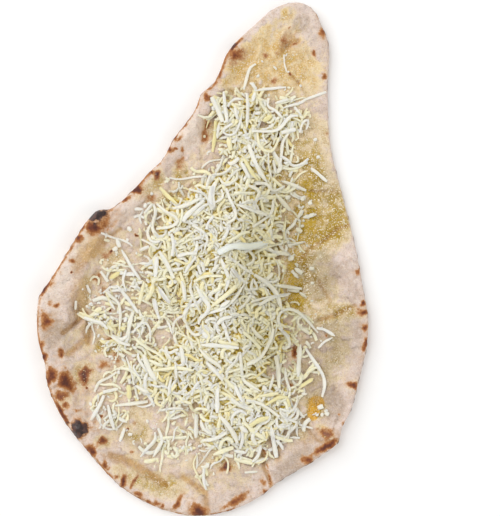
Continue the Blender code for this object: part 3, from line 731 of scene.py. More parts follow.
# On the right the brush went closer to the rim than elsewhere.
dry_rim = 5.0 - 4.0 * eased((flat[:, 0] - 55.0) / 25.0)
brushed = soft_patches(flat, BUTTERED) * eased(rim_distance / dry_rim)
butter = crumb + (1.0 - crumb) * brushed
butter *= 1.0 - soft_patches(flat, DRY_PATCHES)
butter = np.clip(butter - run_off * eased(butter / 0.3), 0.0, 1.0)
pool = soft_patches(flat, POOLS) - 0.3 * np.clip(run_off, 0.0, 1.0)
# Painted shade: the creases and the warm patches on the lip's inner slope turn a warm tan, as shade falls
# there.
folds = np.clip(grooves(flat) / 1.4, 0.0, 1.0)
toasted = np.maximum(folds, soft_patches(flat, FOLD_SHADE_PATCHES))
# The painted shade, darker where the shade patches lie.
dull = soft_patches(flat, SHADE_PATCHES)
# Painted light, paler where the lit patches lie.
pale = soft_patches(flat, LIT_PATCHES)


def paint(mesh, name, values):
    """Writes one value for each point of the mesh, for a finish to read."""
    layer = mesh.attributes.new(name, "FLOAT", "POINT")
    layer.data.foreach_set("value", values.astype(np.float32))


layers = {
    "scorch": scorch, "black": black, "butter": butter, "pool": pool, "dull": dull, "toasted": toasted,
    "pale": pale,
}
for name, values in layers.items():
    paint(bread_mesh, name, np.where(on_top | (rim_distance < 3.0), values, 0.0))
paint(bread_mesh, "under", np.where(on_top, 0.0, eased(rim_distance / 5.0)))
print(f"butter on {100 * (butter[:top_count] > 0.4).mean():.0f} % of the top")

# %% [markdown]
# The finish mixes those layers. A colour ramp runs from floury rim over tan crumb to soaked gold, so the
# butter has no hard border anywhere, and at the narrow end the gold is lighter and yellower. Fine noise
# breaks every edge, because baked dough is never even. The buttered crumb is full of minced garlic and air
# cells, so it gets small bright grains, and these are also painted highlights for the glints of wet butter.

# %% How wet the crumb is, and where light and shade are painted
AIR_CELL = 4.2

dough = Finish("baked_dough")
fine, mottle, cloud = dough.grain(1.1, 3.0), dough.grain(3.4, 3.0), dough.grain(13.0)
cell_sockets = {"Vector": dough.place, "Scale": 1.0 / (AIR_CELL * MM), "Smoothness": 0.4}
cells_of_air = dough.node("ShaderNodeTexVoronoi", {"feature": "SMOOTH_F1"}, cell_sockets, output="Distance")
valley = (cells_of_air + (mottle - 0.5) * 0.5).between(0.2, 0.65)
facet = (dough.grain(7.5, 1.5) + (mottle - 0.5) * 0.3).between(0.4, 0.6)
butter, under_side = dough.painted("butter"), dough.painted("under")
soaked = butter + (valley - 0.5) * (butter * 0.3 + 0.08) + (facet - 0.5) * butter * 0.35 + (fine - 0.5) * 0.4
pooled = (dough.painted("pool") + (mottle - 0.5) * 0.3).between(0.25, 0.75)
wet = soaked.between(0.25, 0.6)
dull = (dough.painted("dull") + (mottle - 0.5) * 0.4).between(0.1, 0.9)
toasted = (dough.painted("toasted") + (mottle - 0.5) * 0.3).between(0.05, 1.0)
painted_light = (dough.painted("pale") + (mottle - 0.5) * 0.5).between(0.0, 1.0)
print("the wetness takes", len(dough.tree.nodes), "nodes")

# %% Flour, crumb and butter, with painted light and shade
NARROW_END = (0.09, 0.12)
BROAD_END = (-0.07, -0.085)

floury = dough.blend(cloud.between(0.35, 0.65), tone("E3D2C9"), tone("D3C0B4"))
floury = dough.blend(mottle.between(0.42, 0.64) * 0.45, floury, tone("CCB29F"))
crumb = dough.ramp(
    soaked,
    [
        (0.1, "E2CEB6"), (0.28, "E3D0AF"), (0.46, "DAC299"), (0.64, "CDB377"), (0.82, "BE9E4A"),
        (1.0, "B08F26"),
    ],
)
golden = dough.ramp(soaked, [(0.1, "E4CFB2"), (0.28, "E8D0A0"), (0.46, "E2BF80"), (0.7, "D6AE58")])
up_the_bread = dough.node("ShaderNodeSeparateXYZ", None, {0: dough.place}, output=1)
crumb = dough.blend(up_the_bread.between(*NARROW_END) * 0.8, crumb, golden)
colour = dough.blend(soaked.between(0.0, 0.26), floury, crumb)
oil = dough.blend(up_the_bread.between(*BROAD_END), tone("B8961C"), tone("E0AC3A"))
colour = dough.blend(pooled, colour, oil)
# Painted light: the dough is paler where it faces the window.
colour = dough.blend(painted_light * 0.45, colour, tone("F4E6D7"))
# Painted shade: the dough is darker where the shade patches lie.
colour = dough.multiplied(dull, colour, tone("D6D2CA"))
# Painted warm shade in the folds and on the inner slope of the lip.
colour = dough.multiplied(toasted, colour, tone("E3CDA8"))
grit = dough.grain(0.8, 2.0)
colour = dough.multiplied((1 - grit.between(0.3, 0.5)) * 0.6, colour, tone("D9CDBF"))
# Where painted shade lies on wet crumb between the facets, it turns greyer.
colour = dough.blend(wet * (1 - facet) * dull * 0.6, colour, tone("D2C9B0"))
# Small bright grains: garlic and air cells, and painted highlights for the glints of the wet butter.
grains_and_glints = dough.grain(0.95, 1.0).between(0.55, 0.66)
colour = dough.blend(grains_and_glints * (0.22 + wet * 0.5) * (1 - pooled * 0.7), colour, tone("F5ECDA"))
print("with its colours it has", len(dough.tree.nodes), "nodes")

# %% [markdown]
# A second ramp runs from golden brown to the purple brown of a burnt blister, and the blackest spots are
# char. The underside lay on the hot clay and has brown freckles. Two bumps, one for the air cells and one
# for the finest crumb, roughen the skin more where it is wet, and a thin coat gives the buttery shine.

# %% Browning, underside and shine
scorch = dough.painted("scorch")
scorched = scorch + ((mottle - 0.5) * 0.8 + (fine - 0.5) * 0.5) * scorch.between(0.0, 0.3)
black = (dough.painted("black") + (mottle - 0.5) * 0.5).between(0.3, 0.8)
browning = dough.ramp(
    scorched,
    [(0.08, "D9B48D"), (0.25, "C69A72"), (0.42, "B17B4B"), (0.6, "965B34"), (0.8, "7A442C"), (1.0, "5E362D")],
)
colour = dough.blend(scorched.between(0.0, 0.4), colour, browning)
charred = dough.blend(mottle.between(0.4, 0.6), tone("30201E"), tone("583A32"))
colour = dough.blend(black * scorched.between(0.3, 0.6), colour, charred)
freckles = (dough.grain(8.0, 4.0) + (cloud - 0.5) * 0.5 + (mottle - 0.5) * 0.2).between(0.54, 0.68)
colour = dough.blend(under_side, colour, dough.blend(freckles, tone("D8BC98"), tone("8A5632")))
relief = dough.bump(mottle * 0.6 - valley * 0.5 - facet * 0.5, 1.1)
relief = dough.bump(fine * (0.4 + wet * 1.2), 0.5, relief)
dough.set(
    Base_Color=colour,
    Roughness=0.8 - wet * 0.36 - pooled * 0.2 - black * 0.25,
    Specular_IOR_Level=0.3,
    Coat_Weight=(wet * 0.35 + pooled * 0.1 + black * 0.3) * (1 - under_side),
    Coat_Roughness=0.12,
    Normal=relief,
    Subsurface_Weight=0.06,
    Subsurface_Radius=(1.0, 0.6, 0.35),
    Subsurface_Scale=0.002,
)
bread_mesh.materials.append(dough.material)
print("finished, the dough has", len(dough.tree.nodes), "nodes")
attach(bread, "root")
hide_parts("naan_bread")

# %% [markdown]
# ## The heap of cheese
# A handful of coarsely grated cheese was dropped on the hot bread: hundreds of soft strips, two kinds
# mixed, piled in the middle and thin towards the edges. A rigid-body simulation would give stiff sticks
# and takes long. Here each strip is dropped on a map of heights, where it sags over what lies below and
# raises the map for the next one. That is quick, never cuts the bread and gives the same heap each time.
# Soft patches say how many layers of strips lie at each place.

# %% How thick the cheese lies
HEAP_PATCHES = [
    (12, 20, 40, 30, 0, 2.5), (0, 38, 22, 11, 30, 2.0), (25, 50, 26, 14, 0, 1.8), (26, 68, 15, 16, 0, 2.4),
    (28, 86, 18, 13, 0, 2.6), (30, 98, 8, 9, 0, 2.0), (11, 95, 7.5, 10, 0, 2.1), (50, 85, 15, 8, 0, 1.8),
    (52, 94, 10, 9, 0, 1.0), (45, 45, 17, 24, 0, 1.0), (50, 24, 13, 9, 0, 1.5), (-28, 18, 15, 20, 0, 1.2),
    (-20, 6, 14, 16, 0, 2.0), (30, -20, 23, 34, 0, 2.4), (35, -48, 18, 20, 0, 2.5),
    (10, -25, 22, 28, 0, 1.8), (-15, -20, 28, 24, 0, 1.8), (-50, -30, 14, 18, 0, 1.4),
    (-62, -36, 13, 10, 0, 1.4), (-48, -48, 15, 9, 0, 1.3), (-34, -20, 7, 7, 0, 1.8),
    (-34, -48, 12, 14, 0, 1.0), (0, -60, 26, 16, 0, 2.3), (-2, -70, 11, 10, 0, 2.5),
    (20, -58, 27, 14, 0, 2.2), (-35, -72, 9, 19, -12, 1.7), (-50, -68, 12, 7, 0, 0.6),
    (-57, -93, 10, 14, 10, 1.0), (-18, -92, 14, 10, 0, 1.4), (-25, -78, 17, 12, 0, 0.9),
    (-2, -85, 14, 14, 0, 1.5), (28, -96, 32, 20, 0, 2.1), (18, -108, 18, 10, 0, 1.9),
    (32, -118, 10, 11, 0, 1.4), (45, -96, 14, 14, 0, 1.8), (45, -75, 16, 18, 0, 1.3),
    (10, -118, 20, 9, 0, 1.2), (-15, -120, 20, 7, 0, 0.9), (-5, -108, 16, 14, 0, 1.0),
    (0, -130, 7, 8, 0, 0.8), (58, -45, 10, 14, 0, 1.3), (50, -25, 10, 22, 0, 1.3), (60, -64, 17, 9, 0, 0.7),
    (-50, -5, 16, 18, 0, 0.35),
]
HOLES = [
    (-22, -45, 8, 11, 0, 0.4), (27, -80, 8, 4, -20, 0.4), (58, -13, 8, 16, 0, 0.9), (67, 22, 10, 14, 0, 0.8),
]
BARE_SPOTS = [(59, -12, 7, 14, 0, 1.0), (70, -92, 7, 8, 0, 1.0), (69, 18, 9, 14, 0, 1.0)]
RIDGE_X = 6.0
STEEP_SIDE = 30.0
GENTLE_SIDE = 75.0
LOOSE_HEIGHT = 1.0
LAYER_HEIGHT = 2.2
RIDGE_HEIGHT = 1.5
print(len(HEAP_PATCHES), "patches of cheese and", len(HOLES), "gaps")


# %% A map of heights
MAP_CELL = 0.7
MAP_MARGIN = 3.0


def heap_height(points, layers):
    """How high the cheese may pile: most along a ridge, with a steep side to the right of it."""
    away = points[:, 0] - RIDGE_X
    ridge = np.exp(-((away / np.where(away > 0.0, STEEP_SIDE, GENTLE_SIDE)) ** 2))
    return LOOSE_HEIGHT + layers * (LAYER_HEIGHT + RIDGE_HEIGHT * ridge)


def layers_of_cheese(points):
    """How many layers of strips lie at each point."""
    layers = np.zeros(len(points))
    for x, y, across, along, turn, level in HEAP_PATCHES:
        layers = np.maximum(layers, level * soft_patches(points, [(x, y, across, along, turn, 1.0)]))
    return layers * (1.0 - soft_patches(points, HOLES))


map_low = rim_line.min(axis=0) - MAP_MARGIN
map_shape = ((rim_line.max(axis=0) + MAP_MARGIN - map_low) / MAP_CELL).astype(int) + 1
cells = np.stack(np.meshgrid(*[np.arange(n) for n in map_shape], indexing="ij"), axis=-1).reshape(-1, 2)
grid = map_low + cells * MAP_CELL
surface = bread_top(grid).reshape(map_shape)
layer_map = layers_of_cheese(grid).reshape(map_shape)
settled_top = surface + heap_height(grid, layer_map.ravel()).reshape(map_shape)
print("height map", surface.shape, f"cells, {layer_map.sum() * MAP_CELL**2 / 100:.0f} square cm of strips")


def cells_at(points):
    """The cells of the map that hold the points."""
    index = np.rint((points - map_low) / MAP_CELL).astype(int)
    return tuple(np.clip(index, 0, map_shape - 1).T)


# %% [markdown]
# A packed core fills the deepest part of the heap, so that no bread shows through where the cheese is
# thick. It follows the number of layers and is as lumpy as the shreds that cover it.

# %% Packed core
CORE_OUTLINE = [
    (2, 46), (20, 50), (36, 44), (48, 30), (44, 14), (42, -4), (46, -20), (50, -40), (42, -58), (40, -72),
    (52, -86), (52, -100), (40, -112), (20, -117), (4, -106), (-2, -92), (-14, -84), (-30, -88), (-38, -80),
    (-32, -62), (-18, -54), (-8, -44), (-14, -24), (-30, -14), (-32, 4), (-26, 20), (-14, 36),
]
CORE_POINTS = 260
CORE_GAP = 0.15
CORE_EDGE = 0.35
CORE_SHARE = 0.7
STRIPS_ABOVE = 4.2
HIGHEST_MOUND = 8.0
MOUND_SLOPE = 16.0
LUMP_SLOPE = 6.0
core_line = closed_curve(CORE_OUTLINE, CORE_POINTS)


def core_thickness(points):
    """How thick the core is: thin at its edge, and lower than the heap by the strips that lie on it."""
    edge = distance_to_line(points, core_line, True)[0]
    spare = heap_height(points, layers_of_cheese(points)) - STRIPS_ABOVE
    mound = CORE_SHARE * np.clip(spare, 0.0, HIGHEST_MOUND) * eased(edge / MOUND_SLOPE)
    lumps = 0.9 * ripple(points, 4.2, 41) + 0.6 * ripple(points, 2.2, 42)
    return CORE_GAP + CORE_EDGE + mound + lumps * eased(edge / LUMP_SLOPE)


core_mesh, _ = skin(
    "packed_cheese", core_line, (0.8,), 1.5, lambda p: bread_top(p) + core_thickness(p),
    (1.0,), 3.4, lambda p: bread_top(p) + CORE_GAP,
)
core = add_object("packed_cheese", core_mesh)


def inside(points, outline):
    """True for the points that lie within a closed outline."""
    x, y = points.T
    odd = np.zeros(len(points), bool)
    for (ax, ay), (bx, by) in zip(outline, np.roll(outline, -1, axis=0)):
        if ay != by:
            odd ^= ((ay > y) != (by > y)) & (x < ax + (y - ay) / (by - ay) * (bx - ax))
    return odd


within = inside(grid, core_line)
heights = surface.ravel().copy()
heights[within] += core_thickness(grid[within])
heights = heights.reshape(map_shape)
core_top = heights.copy()
print(f"core fills {within.mean() * 100:.0f} % of the map, top at {heights.max():.1f} mm")

# %% [markdown]
# Each strip bends one way along its length and wavers a little. It is laid like a soft beam: wherever it
# touches something below, the rest may hang down from there only as far as cheese bends, and a few strips
# are stiffer and keep their ends up. The cheese settles under its own weight, so no strip lies higher
# than the layers at its place can pile.

# %% How a shred behaves
SAG = 0.12
SINK = {"soaked": 0.7, "white": 0.45, "yellow": 0.45, "golden": 0.45, "lone": 0.2, "flake": 0.3}
FLATNESS = {"soaked": 0.4, "white": 0.38, "yellow": 0.38, "golden": 0.38, "lone": 0.4, "flake": 0.24}
TRACKS = (-0.42, -0.2, 0.0, 0.2, 0.42)
TOUCH = 0.05
BARE_DEPTH = 0.3
MOST_SPRING = 1.8
OVER_THE_HEAP = 2.0
POINT_SPACING = 2.2
FEWEST_POINTS = 4
MOST_POINTS = 17
TAPER = 0.2
strips = {kind: [] for kind in SINK}
print("kinds of strip:", ", ".join(strips))


# %% Drop one shred
def wavering_line(dice, centre, length):
    """A flat line of this length about a centre, with one bend and a little waver."""
    steps = max(4, int(length / MAP_CELL))
    t = np.linspace(-0.5, 0.5, steps)
    bend = dice.gauss(0.0, 1.3) if dice.random() < 0.8 else dice.choice((-1, 1)) * dice.uniform(2.0, 3.8)
    waver = dice.uniform(0.0, 0.6) * np.sin(math.tau * (t * dice.uniform(0.7, 1.6) + dice.random()))
    heading = dice.uniform(0.0, math.tau) + bend * t + waver
    line = np.cumsum(np.column_stack([np.cos(heading), np.sin(heading)]), axis=0) * length / steps
    return line - line.mean(axis=0) + centre


def strip_widths(dice, share, width):
    """Half widths along a strip: cut square or drawn out thin at either end, and broader here than there."""
    start, end = (dice.choice((0.35, 0.6, 0.75, 0.9)) for _ in range(2))
    shape = 1.0 - (1.0 - start) * np.clip(1.0 - share / TAPER, 0.0, 1.0)
    shape *= 1.0 - (1.0 - end) * np.clip(1.0 - (1.0 - share) / TAPER, 0.0, 1.0)
    swell = 0.1 * np.sin(math.tau * (share * dice.uniform(0.8, 2.2) + dice.random()))
    torn = 0.05 * np.array([dice.gauss(0.0, 1.0) for _ in share])
    return width / 2 * shape * np.clip(1.0 + swell + torn, 0.75, 1.25)


def drop(dice, line, width, kind, stiffness):
    """Lays a strip on the heights, raises them and keeps its path, widths and roll."""
    along = np.gradient(line, axis=0)
    side = np.column_stack([-along[:, 1], along[:, 0]])
    side /= np.linalg.norm(side, axis=1)[:, None] + 1e-9
    thick = width * FLATNESS[kind]
    tracks = [cells_at(line + side * offset * width) for offset in TRACKS]
    below = np.max([heights[track] for track in tracks], axis=0)
    on_bread = np.max([surface[track] for track in tracks], axis=0)
    below = np.maximum(below - SINK[kind] * thick * (below > on_bread + BARE_DEPTH), on_bread + TOUCH)
    travelled = np.concatenate([[0.0], np.cumsum(np.linalg.norm(np.diff(line, axis=0), axis=1))])
    draped = (below[None, :] - SAG * (travelled[:, None] - travelled[None, :]) ** 2).max(axis=1)
    arch = dice.uniform(-0.004, 0.02) * (travelled - travelled[-1] / 2) ** 2
    stiff = arch + (below - arch).max()
    low = draped + (np.minimum(stiff, draped + MOST_SPRING) - draped) * stiffness
    low = np.minimum(low, np.maximum(settled_top[tracks[2]] + OVER_THE_HEAP - thick, on_bread + TOUCH))
    low = np.convolve(np.pad(low, 2, "edge"), np.ones(5) / 5, "valid")
    for track in tracks[1:-1]:
        np.maximum.at(heights, track, low + thick)
    count = max(FEWEST_POINTS, min(MOST_POINTS, int(travelled[-1] / POINT_SPACING) + 2))
    stops = np.linspace(0.0, travelled[-1], count)
    columns = (line[:, 0], line[:, 1], low + thick / 2)
    path = np.column_stack([np.interp(stops, travelled, column) for column in columns])
    roll = dice.gauss(0.0, 0.26) + dice.gauss(0.0, 0.35) * np.linspace(-0.5, 0.5, count)
    strips[kind].append((path, strip_widths(dice, stops / travelled[-1], width), roll))


# %% [markdown]
# Many strips are so clear in the view that their lines are given, each with its width, its kind and a few
# points. They land last, on top of the random ones. Lone strips and chips lie on the bare bread: a chip has
# its place, length, width and turn. Crumbs of cheese are scattered round given spots, each with a place,
# two reaches and a number of crumbs.

# %% Shreds with known lines
CLEAR_SHREDS = [
    (2.2, "lone", [(33, 122), (29.5, 119.5), (27.5, 114), (25.5, 106)]),
    (1.2, "lone", [(50.5, 128), (51, 122), (52.5, 117)]),
    (1.9, "white", [(32, 105), (37, 106), (45, 107), (52, 107.5)]),
    (1.9, "white", [(77, 104.5), (70, 102), (64.5, 100), (60.5, 97.5), (54.5, 96), (50, 94.5)]),
    (2.5, "white", [(27.5, 103.5), (28, 93.5), (27.5, 82)]),
    (1.9, "white", [(60.5, 79), (62, 84.5), (64.5, 87), (66, 86), (64.5, 81)]),
    (2.8, "white", [(59.5, 89.5), (54.5, 89), (48, 82), (43, 80), (30.5, 80)]),
    (2.4, "lone", [(67.5, 57), (72, 53.5), (77.5, 48.5)]),
    (2.6, "golden", [(8, 86.5), (7.5, 77.5), (6, 67)]),
    (2.8, "golden", [(-27, 45), (-22, 39.5), (-15.5, 34)]),
    (1.6, "white", [(-21, 51), (-14.5, 50), (-5, 51.5), (2.5, 51.5)]),
    (1.6, "yellow", [(-3, 90), (1, 88.5), (5.5, 89)]),
    (2.2, "white", [(-51, 6), (-45.5, -3.5), (-39, -13)]), (2.2, "lone", [(-64, -7.5), (-59.5, -14)]),
    (2.2, "white", [(-72.5, -16), (-70.5, -21.5)]), (1.9, "white", [(-48, -6.5), (-50, -13), (-48, -20.5)]),
    (2.5, "lone", [(-70, -100.5), (-64.5, -91), (-62, -85)]), (2.5, "white", [(-62.5, -83), (-53, -81)]),
    (2.5, "white", [(-59.5, -91), (-58, -97.5), (-55.5, -106.5)]),
    (2.2, "lone", [(-49, -105.5), (-52, -114)]),
    (2.5, "white", [(-30, -108), (-30, -113), (-35.5, -119), (-39, -123.5)]),
    (2.5, "white", [(-28, -105.5), (-25.5, -113), (-28, -118), (-31, -123.5)]),
    (2.5, "white", [(-55, -91.5), (-34.5, -89)]), (1.4, "white", [(-48, -61), (-45, -69), (-43, -78.5)]),
    (2.2, "white", [(0.5, -130.5), (0.5, -138), (2, -144)]), (1.9, "lone", [(26, -133), (34, -132.5)]),
    (2.5, "white", [(31, -126.5), (34.5, -122.5), (36, -116)]),
    (3.1, "white", [(42.5, -103.5), (44, -113), (46, -124)]),
    (2.2, "white", [(50, -113), (55.5, -106.5), (59, -102.5), (56, -100.5), (50, -97.5), (48, -93),
            (54.5, -95), (58, -91), (59, -85)]),
    (2.5, "white", [(64, -55.5), (69, -63), (74.5, -71.5), (76, -78.5), (74.5, -86)]),
    (3.1, "white", [(61, -53), (60, -63), (59.5, -73.5)]),
    (3.1, "white", [(45.5, -60), (47, -69), (47.5, -80.5)]),
    (2.2, "white", [(54, -48.5), (50, -45.5), (47, -39), (48, -33.5), (53, -31), (59.5, -33),
            (64.5, -37.5), (72, -46)]),
    (2.2, "lone", [(71, -43), (76, -44), (82.5, -48)]),
    (1.6, "white", [(72, -55.5), (76, -51.5), (81, -49)]), (2.5, "white", [(45, -16), (62, -18.5)]),
    (1.9, "white", [(30, -26.5), (39, -24), (48, -22.5), (54.5, -21.5)]),
    (2.5, "white", [(53, 8.5), (64, 11)]), (3.1, "white", [(1, 36.5), (-4.5, 32), (-10, 27), (-12, 23.5)]),
    (2.4, "white", [(3.5, 36.5), (6.5, 31.5)]),
    (2.4, "white", [(17, 36.5), (20, 30.5), (20, 25.5), (15.5, 22.5)]),
    (2.8, "white", [(21.5, 34), (27.5, 32), (32.5, 30), (40, 27.5)]),
    (2.2, "white", [(44, 36.5), (43, 29.5), (38.5, 25), (31, 20)]),
    (1.9, "white", [(7, 27), (3.5, 22.5), (2.5, 18.5)]),
    (1.9, "white", [(-6.5, 21), (-1, 18), (3, 13), (0.5, 4)]),
    (2.6, "white", [(-19.5, 16), (-18, 10), (-19, 2)]),
    (3.0, "white", [(-27, 5), (-22.5, -2.5), (-18, -12)]), (2.6, "white", [(-6, 12), (-0.5, 14)]),
    (2.8, "white", [(25, 4), (32.5, 7.5), (40.5, 6.5), (45.5, 3.5)]),
    (2.7, "white", [(11.5, 0), (14.5, -7), (16, -13), (14, -20)]), (2.8, "white", [(10.5, -3), (5.5, -8)]),
    (2.6, "white", [(-15.5, 2), (-10, 3.5), (-3.5, 4)]),
    (2.0, "white", [(-4, 1.5), (-8, -3.5), (-11, -8.5)]), (2.6, "white", [(-18.5, -7), (-12, -5.5)]),
    (2.0, "yellow", [(-5.5, -14), (2, -10.5), (12.5, -10.5)]),
    (2.8, "yellow", [(25, -12.5), (16, -21), (4, -30.5)]),
    (2.4, "white", [(26.5, -14.5), (20, -24), (13.5, -30), (3.5, -33.5)]),
    (2.2, "white", [(3.5, -33.5), (-1, -35.5), (-2.5, -40.5)]),
    (2.8, "white", [(-4, -16.5), (-0.5, -23), (4, -30), (-2, -38.5)]),
    (2.0, "white", [(-6.5, -12.5), (-7.5, -19.5), (-2, -32)]),
    (3.4, "white", [(32, -9.5), (40, -15), (45.5, -21), (49.5, -32.5)]),
    (2.4, "white", [(35, -28.5), (43, -24), (53, -22)]), (3.0, "white", [(11, -29.5), (17, -25.5)]),
    (2.8, "white", [(9, -40.5), (12.5, -37), (18.5, -35.5)]),
    (2.0, "white", [(31.5, -12), (30, -18), (34, -18), (31.5, -12.5)]),
    (1.6, "white", [(48, -11.5), (44.5, -14), (40, -14)]),
    (2.8, "yellow", [(-14, -8), (-12, -15), (-11, -25.5)]),
    (3.0, "white", [(-27, -18.5), (-24, -23.5), (-20.5, -27)]),
    (2.0, "white", [(-6, -24), (-9.5, -30), (-11, -37.5)]),
    (2.4, "white", [(17.5, -5.5), (22.5, -11), (28, -15)]), (2.8, "white", [(-0.5, -1.5), (1, -8)]),
    (2.2, "white", [(-3, -3.5), (-1, -9.5)]),
    (2.6, "white", [(-74, -36.5), (-67.5, -38.5), (-63, -40), (-59.5, -43.5)]),
    (2.0, "white", [(-60.5, -20), (-56.5, -24), (-53, -27), (-51.5, -33.5), (-52, -44.5)]),
    (2.4, "white", [(-54, -16), (-49.5, -21.5), (-44, -28.5), (-40.5, -33.5)]),
    (3.0, "white", [(-43.5, -33), (-45.5, -39), (-47.5, -51)]),
    (2.6, "white", [(-57, -47.5), (-51, -50), (-47, -47.5)]),
    (1.8, "white", [(-44, -46), (-39, -40.5), (-36, -39.5), (-33, -44), (-33, -51.5)]),
    (2.6, "yellow", [(-36.5, -14.5), (-38.5, -22.5), (-40, -28.5)]),
    (3.0, "yellow", [(-31, -15), (-32, -20.5), (-35.5, -25.5)]),
    (2.0, "white", [(-31, -24.5), (-30, -30), (-27, -37.5)]),
    (2.8, "white", [(-28, -17), (-24, -22.5), (-20.5, -27.5)]),
    (2.6, "white", [(-13, -13.5), (-11.5, -19), (-11, -25.5)]),
    (2.4, "white", [(-7, -25), (-9, -29.5), (-12, -35.5), (-10, -41)]),
    (2.2, "white", [(-40.5, -58.5), (-40, -62.5), (-34.5, -70.5)]),
    (3.4, "white", [(-37, -59.5), (-35, -65), (-32.5, -70.5), (-29, -75.5)]),
    (2.4, "white", [(-34.5, -70.5), (-36, -75), (-35.5, -81.5)]),
    (2.6, "yellow", [(-31, -69.5), (-24, -68.5), (-15, -67.5), (-5.5, -69)]),
    (3.0, "white", [(-13.5, -54.5), (-12.5, -59.5), (-12, -65)]),
    (2.0, "white", [(-54, -70.5), (-59, -74), (-65, -77), (-68, -83)]),
    (3.6, "golden", [(-46.5, -78.5), (-46, -87.5)]),
    (2.6, "white", [(-41.5, -79), (-37, -81.5), (-33.5, -83)]),
    (2.4, "white", [(-57, -48), (-51, -52), (-45.5, -53.5)]),
    (2.6, "yellow", [(-43.5, -48), (-39, -52), (-33.5, -56), (-27, -59.5), (-22.5, -64)]),
    (2.4, "white", [(-28.5, -43), (-21.5, -42)]),
    (1.8, "white", [(-18.5, -46), (-18, -40), (-14.5, -36), (-12, -35.5)]),
    (1.6, "white", [(-22.5, -38), (-20.5, -42), (-19, -47)]),
    (2.0, "white", [(-19.5, -74), (-21, -79.5), (-20.5, -83.5)]),
    (2.6, "white", [(-17, -65.5), (-16.5, -74)]),
    (2.0, "white", [(-23, -54), (-22, -58.5), (-19.5, -62.5)]),
    (2.4, "white", [(-2.5, -55), (3, -61), (10, -66), (12, -69)]),
    (3.0, "white", [(2, -63.5), (7.5, -69), (12.5, -75)]),
    (2.8, "white", [(-1, -53), (9, -53.5), (22.5, -55)]),
    (2.2, "white", [(14, -42.5), (15, -47), (17.5, -52)]),
    (2.6, "white", [(30.5, -42), (33.5, -46.5), (38, -50)]),
    (2.6, "yellow", [(25, -45), (31.5, -50.5), (36, -55.5)]),
    (3.0, "white", [(44, -43), (42, -50.5), (38, -58), (35, -61.5), (27.5, -65.5)]),
    (2.2, "white", [(47, -42.5), (51.5, -46.5), (54, -51), (53.5, -54.5), (49.5, -55.5)]),
    (2.0, "white", [(51.5, -67.5), (52, -74.5), (54.5, -82)]),
    (2.4, "white", [(23, -57.5), (24, -65.5), (25, -74.5), (29.5, -78.5), (36, -82)]),
    (2.0, "white", [(22.5, -58), (20, -64), (15.5, -69), (14.5, -80.5)]),
    (3.0, "white", [(37.5, -78.5), (39.5, -82.5)]),
    (2.6, "white", [(17.5, -86.5), (23, -90.5), (31.5, -94)]),
    (2.6, "white", [(20, -79), (23, -85), (25, -88.5)]),
    (2.4, "white", [(27, -87.5), (35, -89.5), (41, -93), (47.5, -98)]),
    (2.4, "golden", [(39, -90.5), (46.5, -86.5), (52, -86), (54, -92)]),
    (2.0, "white", [(18, -103.5), (18.5, -97.5), (23, -94), (27.5, -96.5)]),
    (3.4, "white", [(10.5, -97), (15, -102), (20, -110), (21.5, -114.5)]),
    (2.6, "white", [(-0.5, -113), (7.5, -111.5), (15, -107.5)]),
    (3.8, "white", [(23, -103.5), (28, -107.5)]), (3.2, "yellow", [(25.5, -101), (33, -108), (40, -112.5)]),
    (2.2, "white", [(46, -99.5), (46.5, -104), (51.5, -104), (55.5, -101.5)]),
    (3.4, "golden", [(29.5, -103.5), (35, -100), (41.5, -98.5)]),
    (3.0, "white", [(-4, -97), (-4.5, -111.5)]), (3.0, "white", [(9, -77.5), (9, -85), (9, -95.5)]),
    (2.6, "white", [(-1.5, -100), (0.5, -105.5), (5.5, -109)]),
    (3.0, "yellow", [(6.5, -122), (12.5, -119.5), (19, -117.5)]),
    (2.4, "white", [(19.5, -119.5), (27, -121)]), (2.0, "white", [(-7, -84.5), (-5, -79.5), (-1.5, -75.5)]),
    (2.8, "yellow", [(34, -85.5), (47, -83.5)]), (2.0, "white", [(41.5, -81.5), (43.5, -75), (44, -72)]),
    (2.8, "golden", [(61, -79.5), (69, -74.5)]), (3.4, "white", [(5.5, 101), (10, 91.5), (12.5, 85.5)]),
    (2.6, "white", [(13, 104.5), (14, 94), (15, 86.5), (13, 85)]),
    (2.0, "white", [(25.5, 99.5), (20.5, 100), (17.5, 98), (15.5, 95)]),
    (2.4, "white", [(32.5, 104), (31, 98.5)]),
    (2.0, "white", [(41, 100.5), (40.5, 95.5), (45.5, 92.5), (49.5, 88)]),
    (2.0, "white", [(45, 97.5), (53.5, 100)]), (3.0, "white", [(49, 79), (58, 81)]),
    (2.0, "white", [(57, 95), (61.5, 89.5)]),
    (2.0, "yellow", [(34, 79), (35, 72), (38, 68), (43, 67.5), (46, 72), (47.5, 76)]),
    (2.4, "white", [(53.5, 78.5), (50, 73.5), (49, 65.5), (48, 57.5)]),
    (2.2, "white", [(48.5, 64.5), (53.5, 61.5), (56, 58.5), (62, 59.5), (66, 63)]),
    (1.6, "white", [(41, 66.5), (41, 59), (43, 50.5)]), (2.2, "white", [(44, 62), (45.5, 54)]),
    (3.0, "white", [(28.5, 71.5), (31.5, 63), (35.5, 54.5), (40, 48)]),
    (2.8, "golden", [(25.5, 63), (30, 55), (34.5, 49)]),
    (2.6, "white", [(24, 60.5), (27, 54.5), (29, 50.5)]), (2.2, "white", [(20, 95.5), (21.5, 87)]),
    (1.8, "white", [(24.5, 91), (23, 84.5), (19.5, 78), (14, 78), (13, 81), (18.5, 84.5)]),
    (2.4, "white", [(10, 84), (9, 75.5)]), (3.2, "yellow", [(15.5, 76), (17.5, 68)]),
    (2.8, "white", [(15.5, 60.5), (18, 59.5), (22.5, 63)]),
    (2.0, "white", [(18, 57.5), (13, 53.5), (5.5, 52.5)]),
    (1.8, "white", [(13, 65.5), (10.5, 58), (8, 54)]), (1.8, "white", [(4.5, 52), (3, 48), (2.5, 44.5)]),
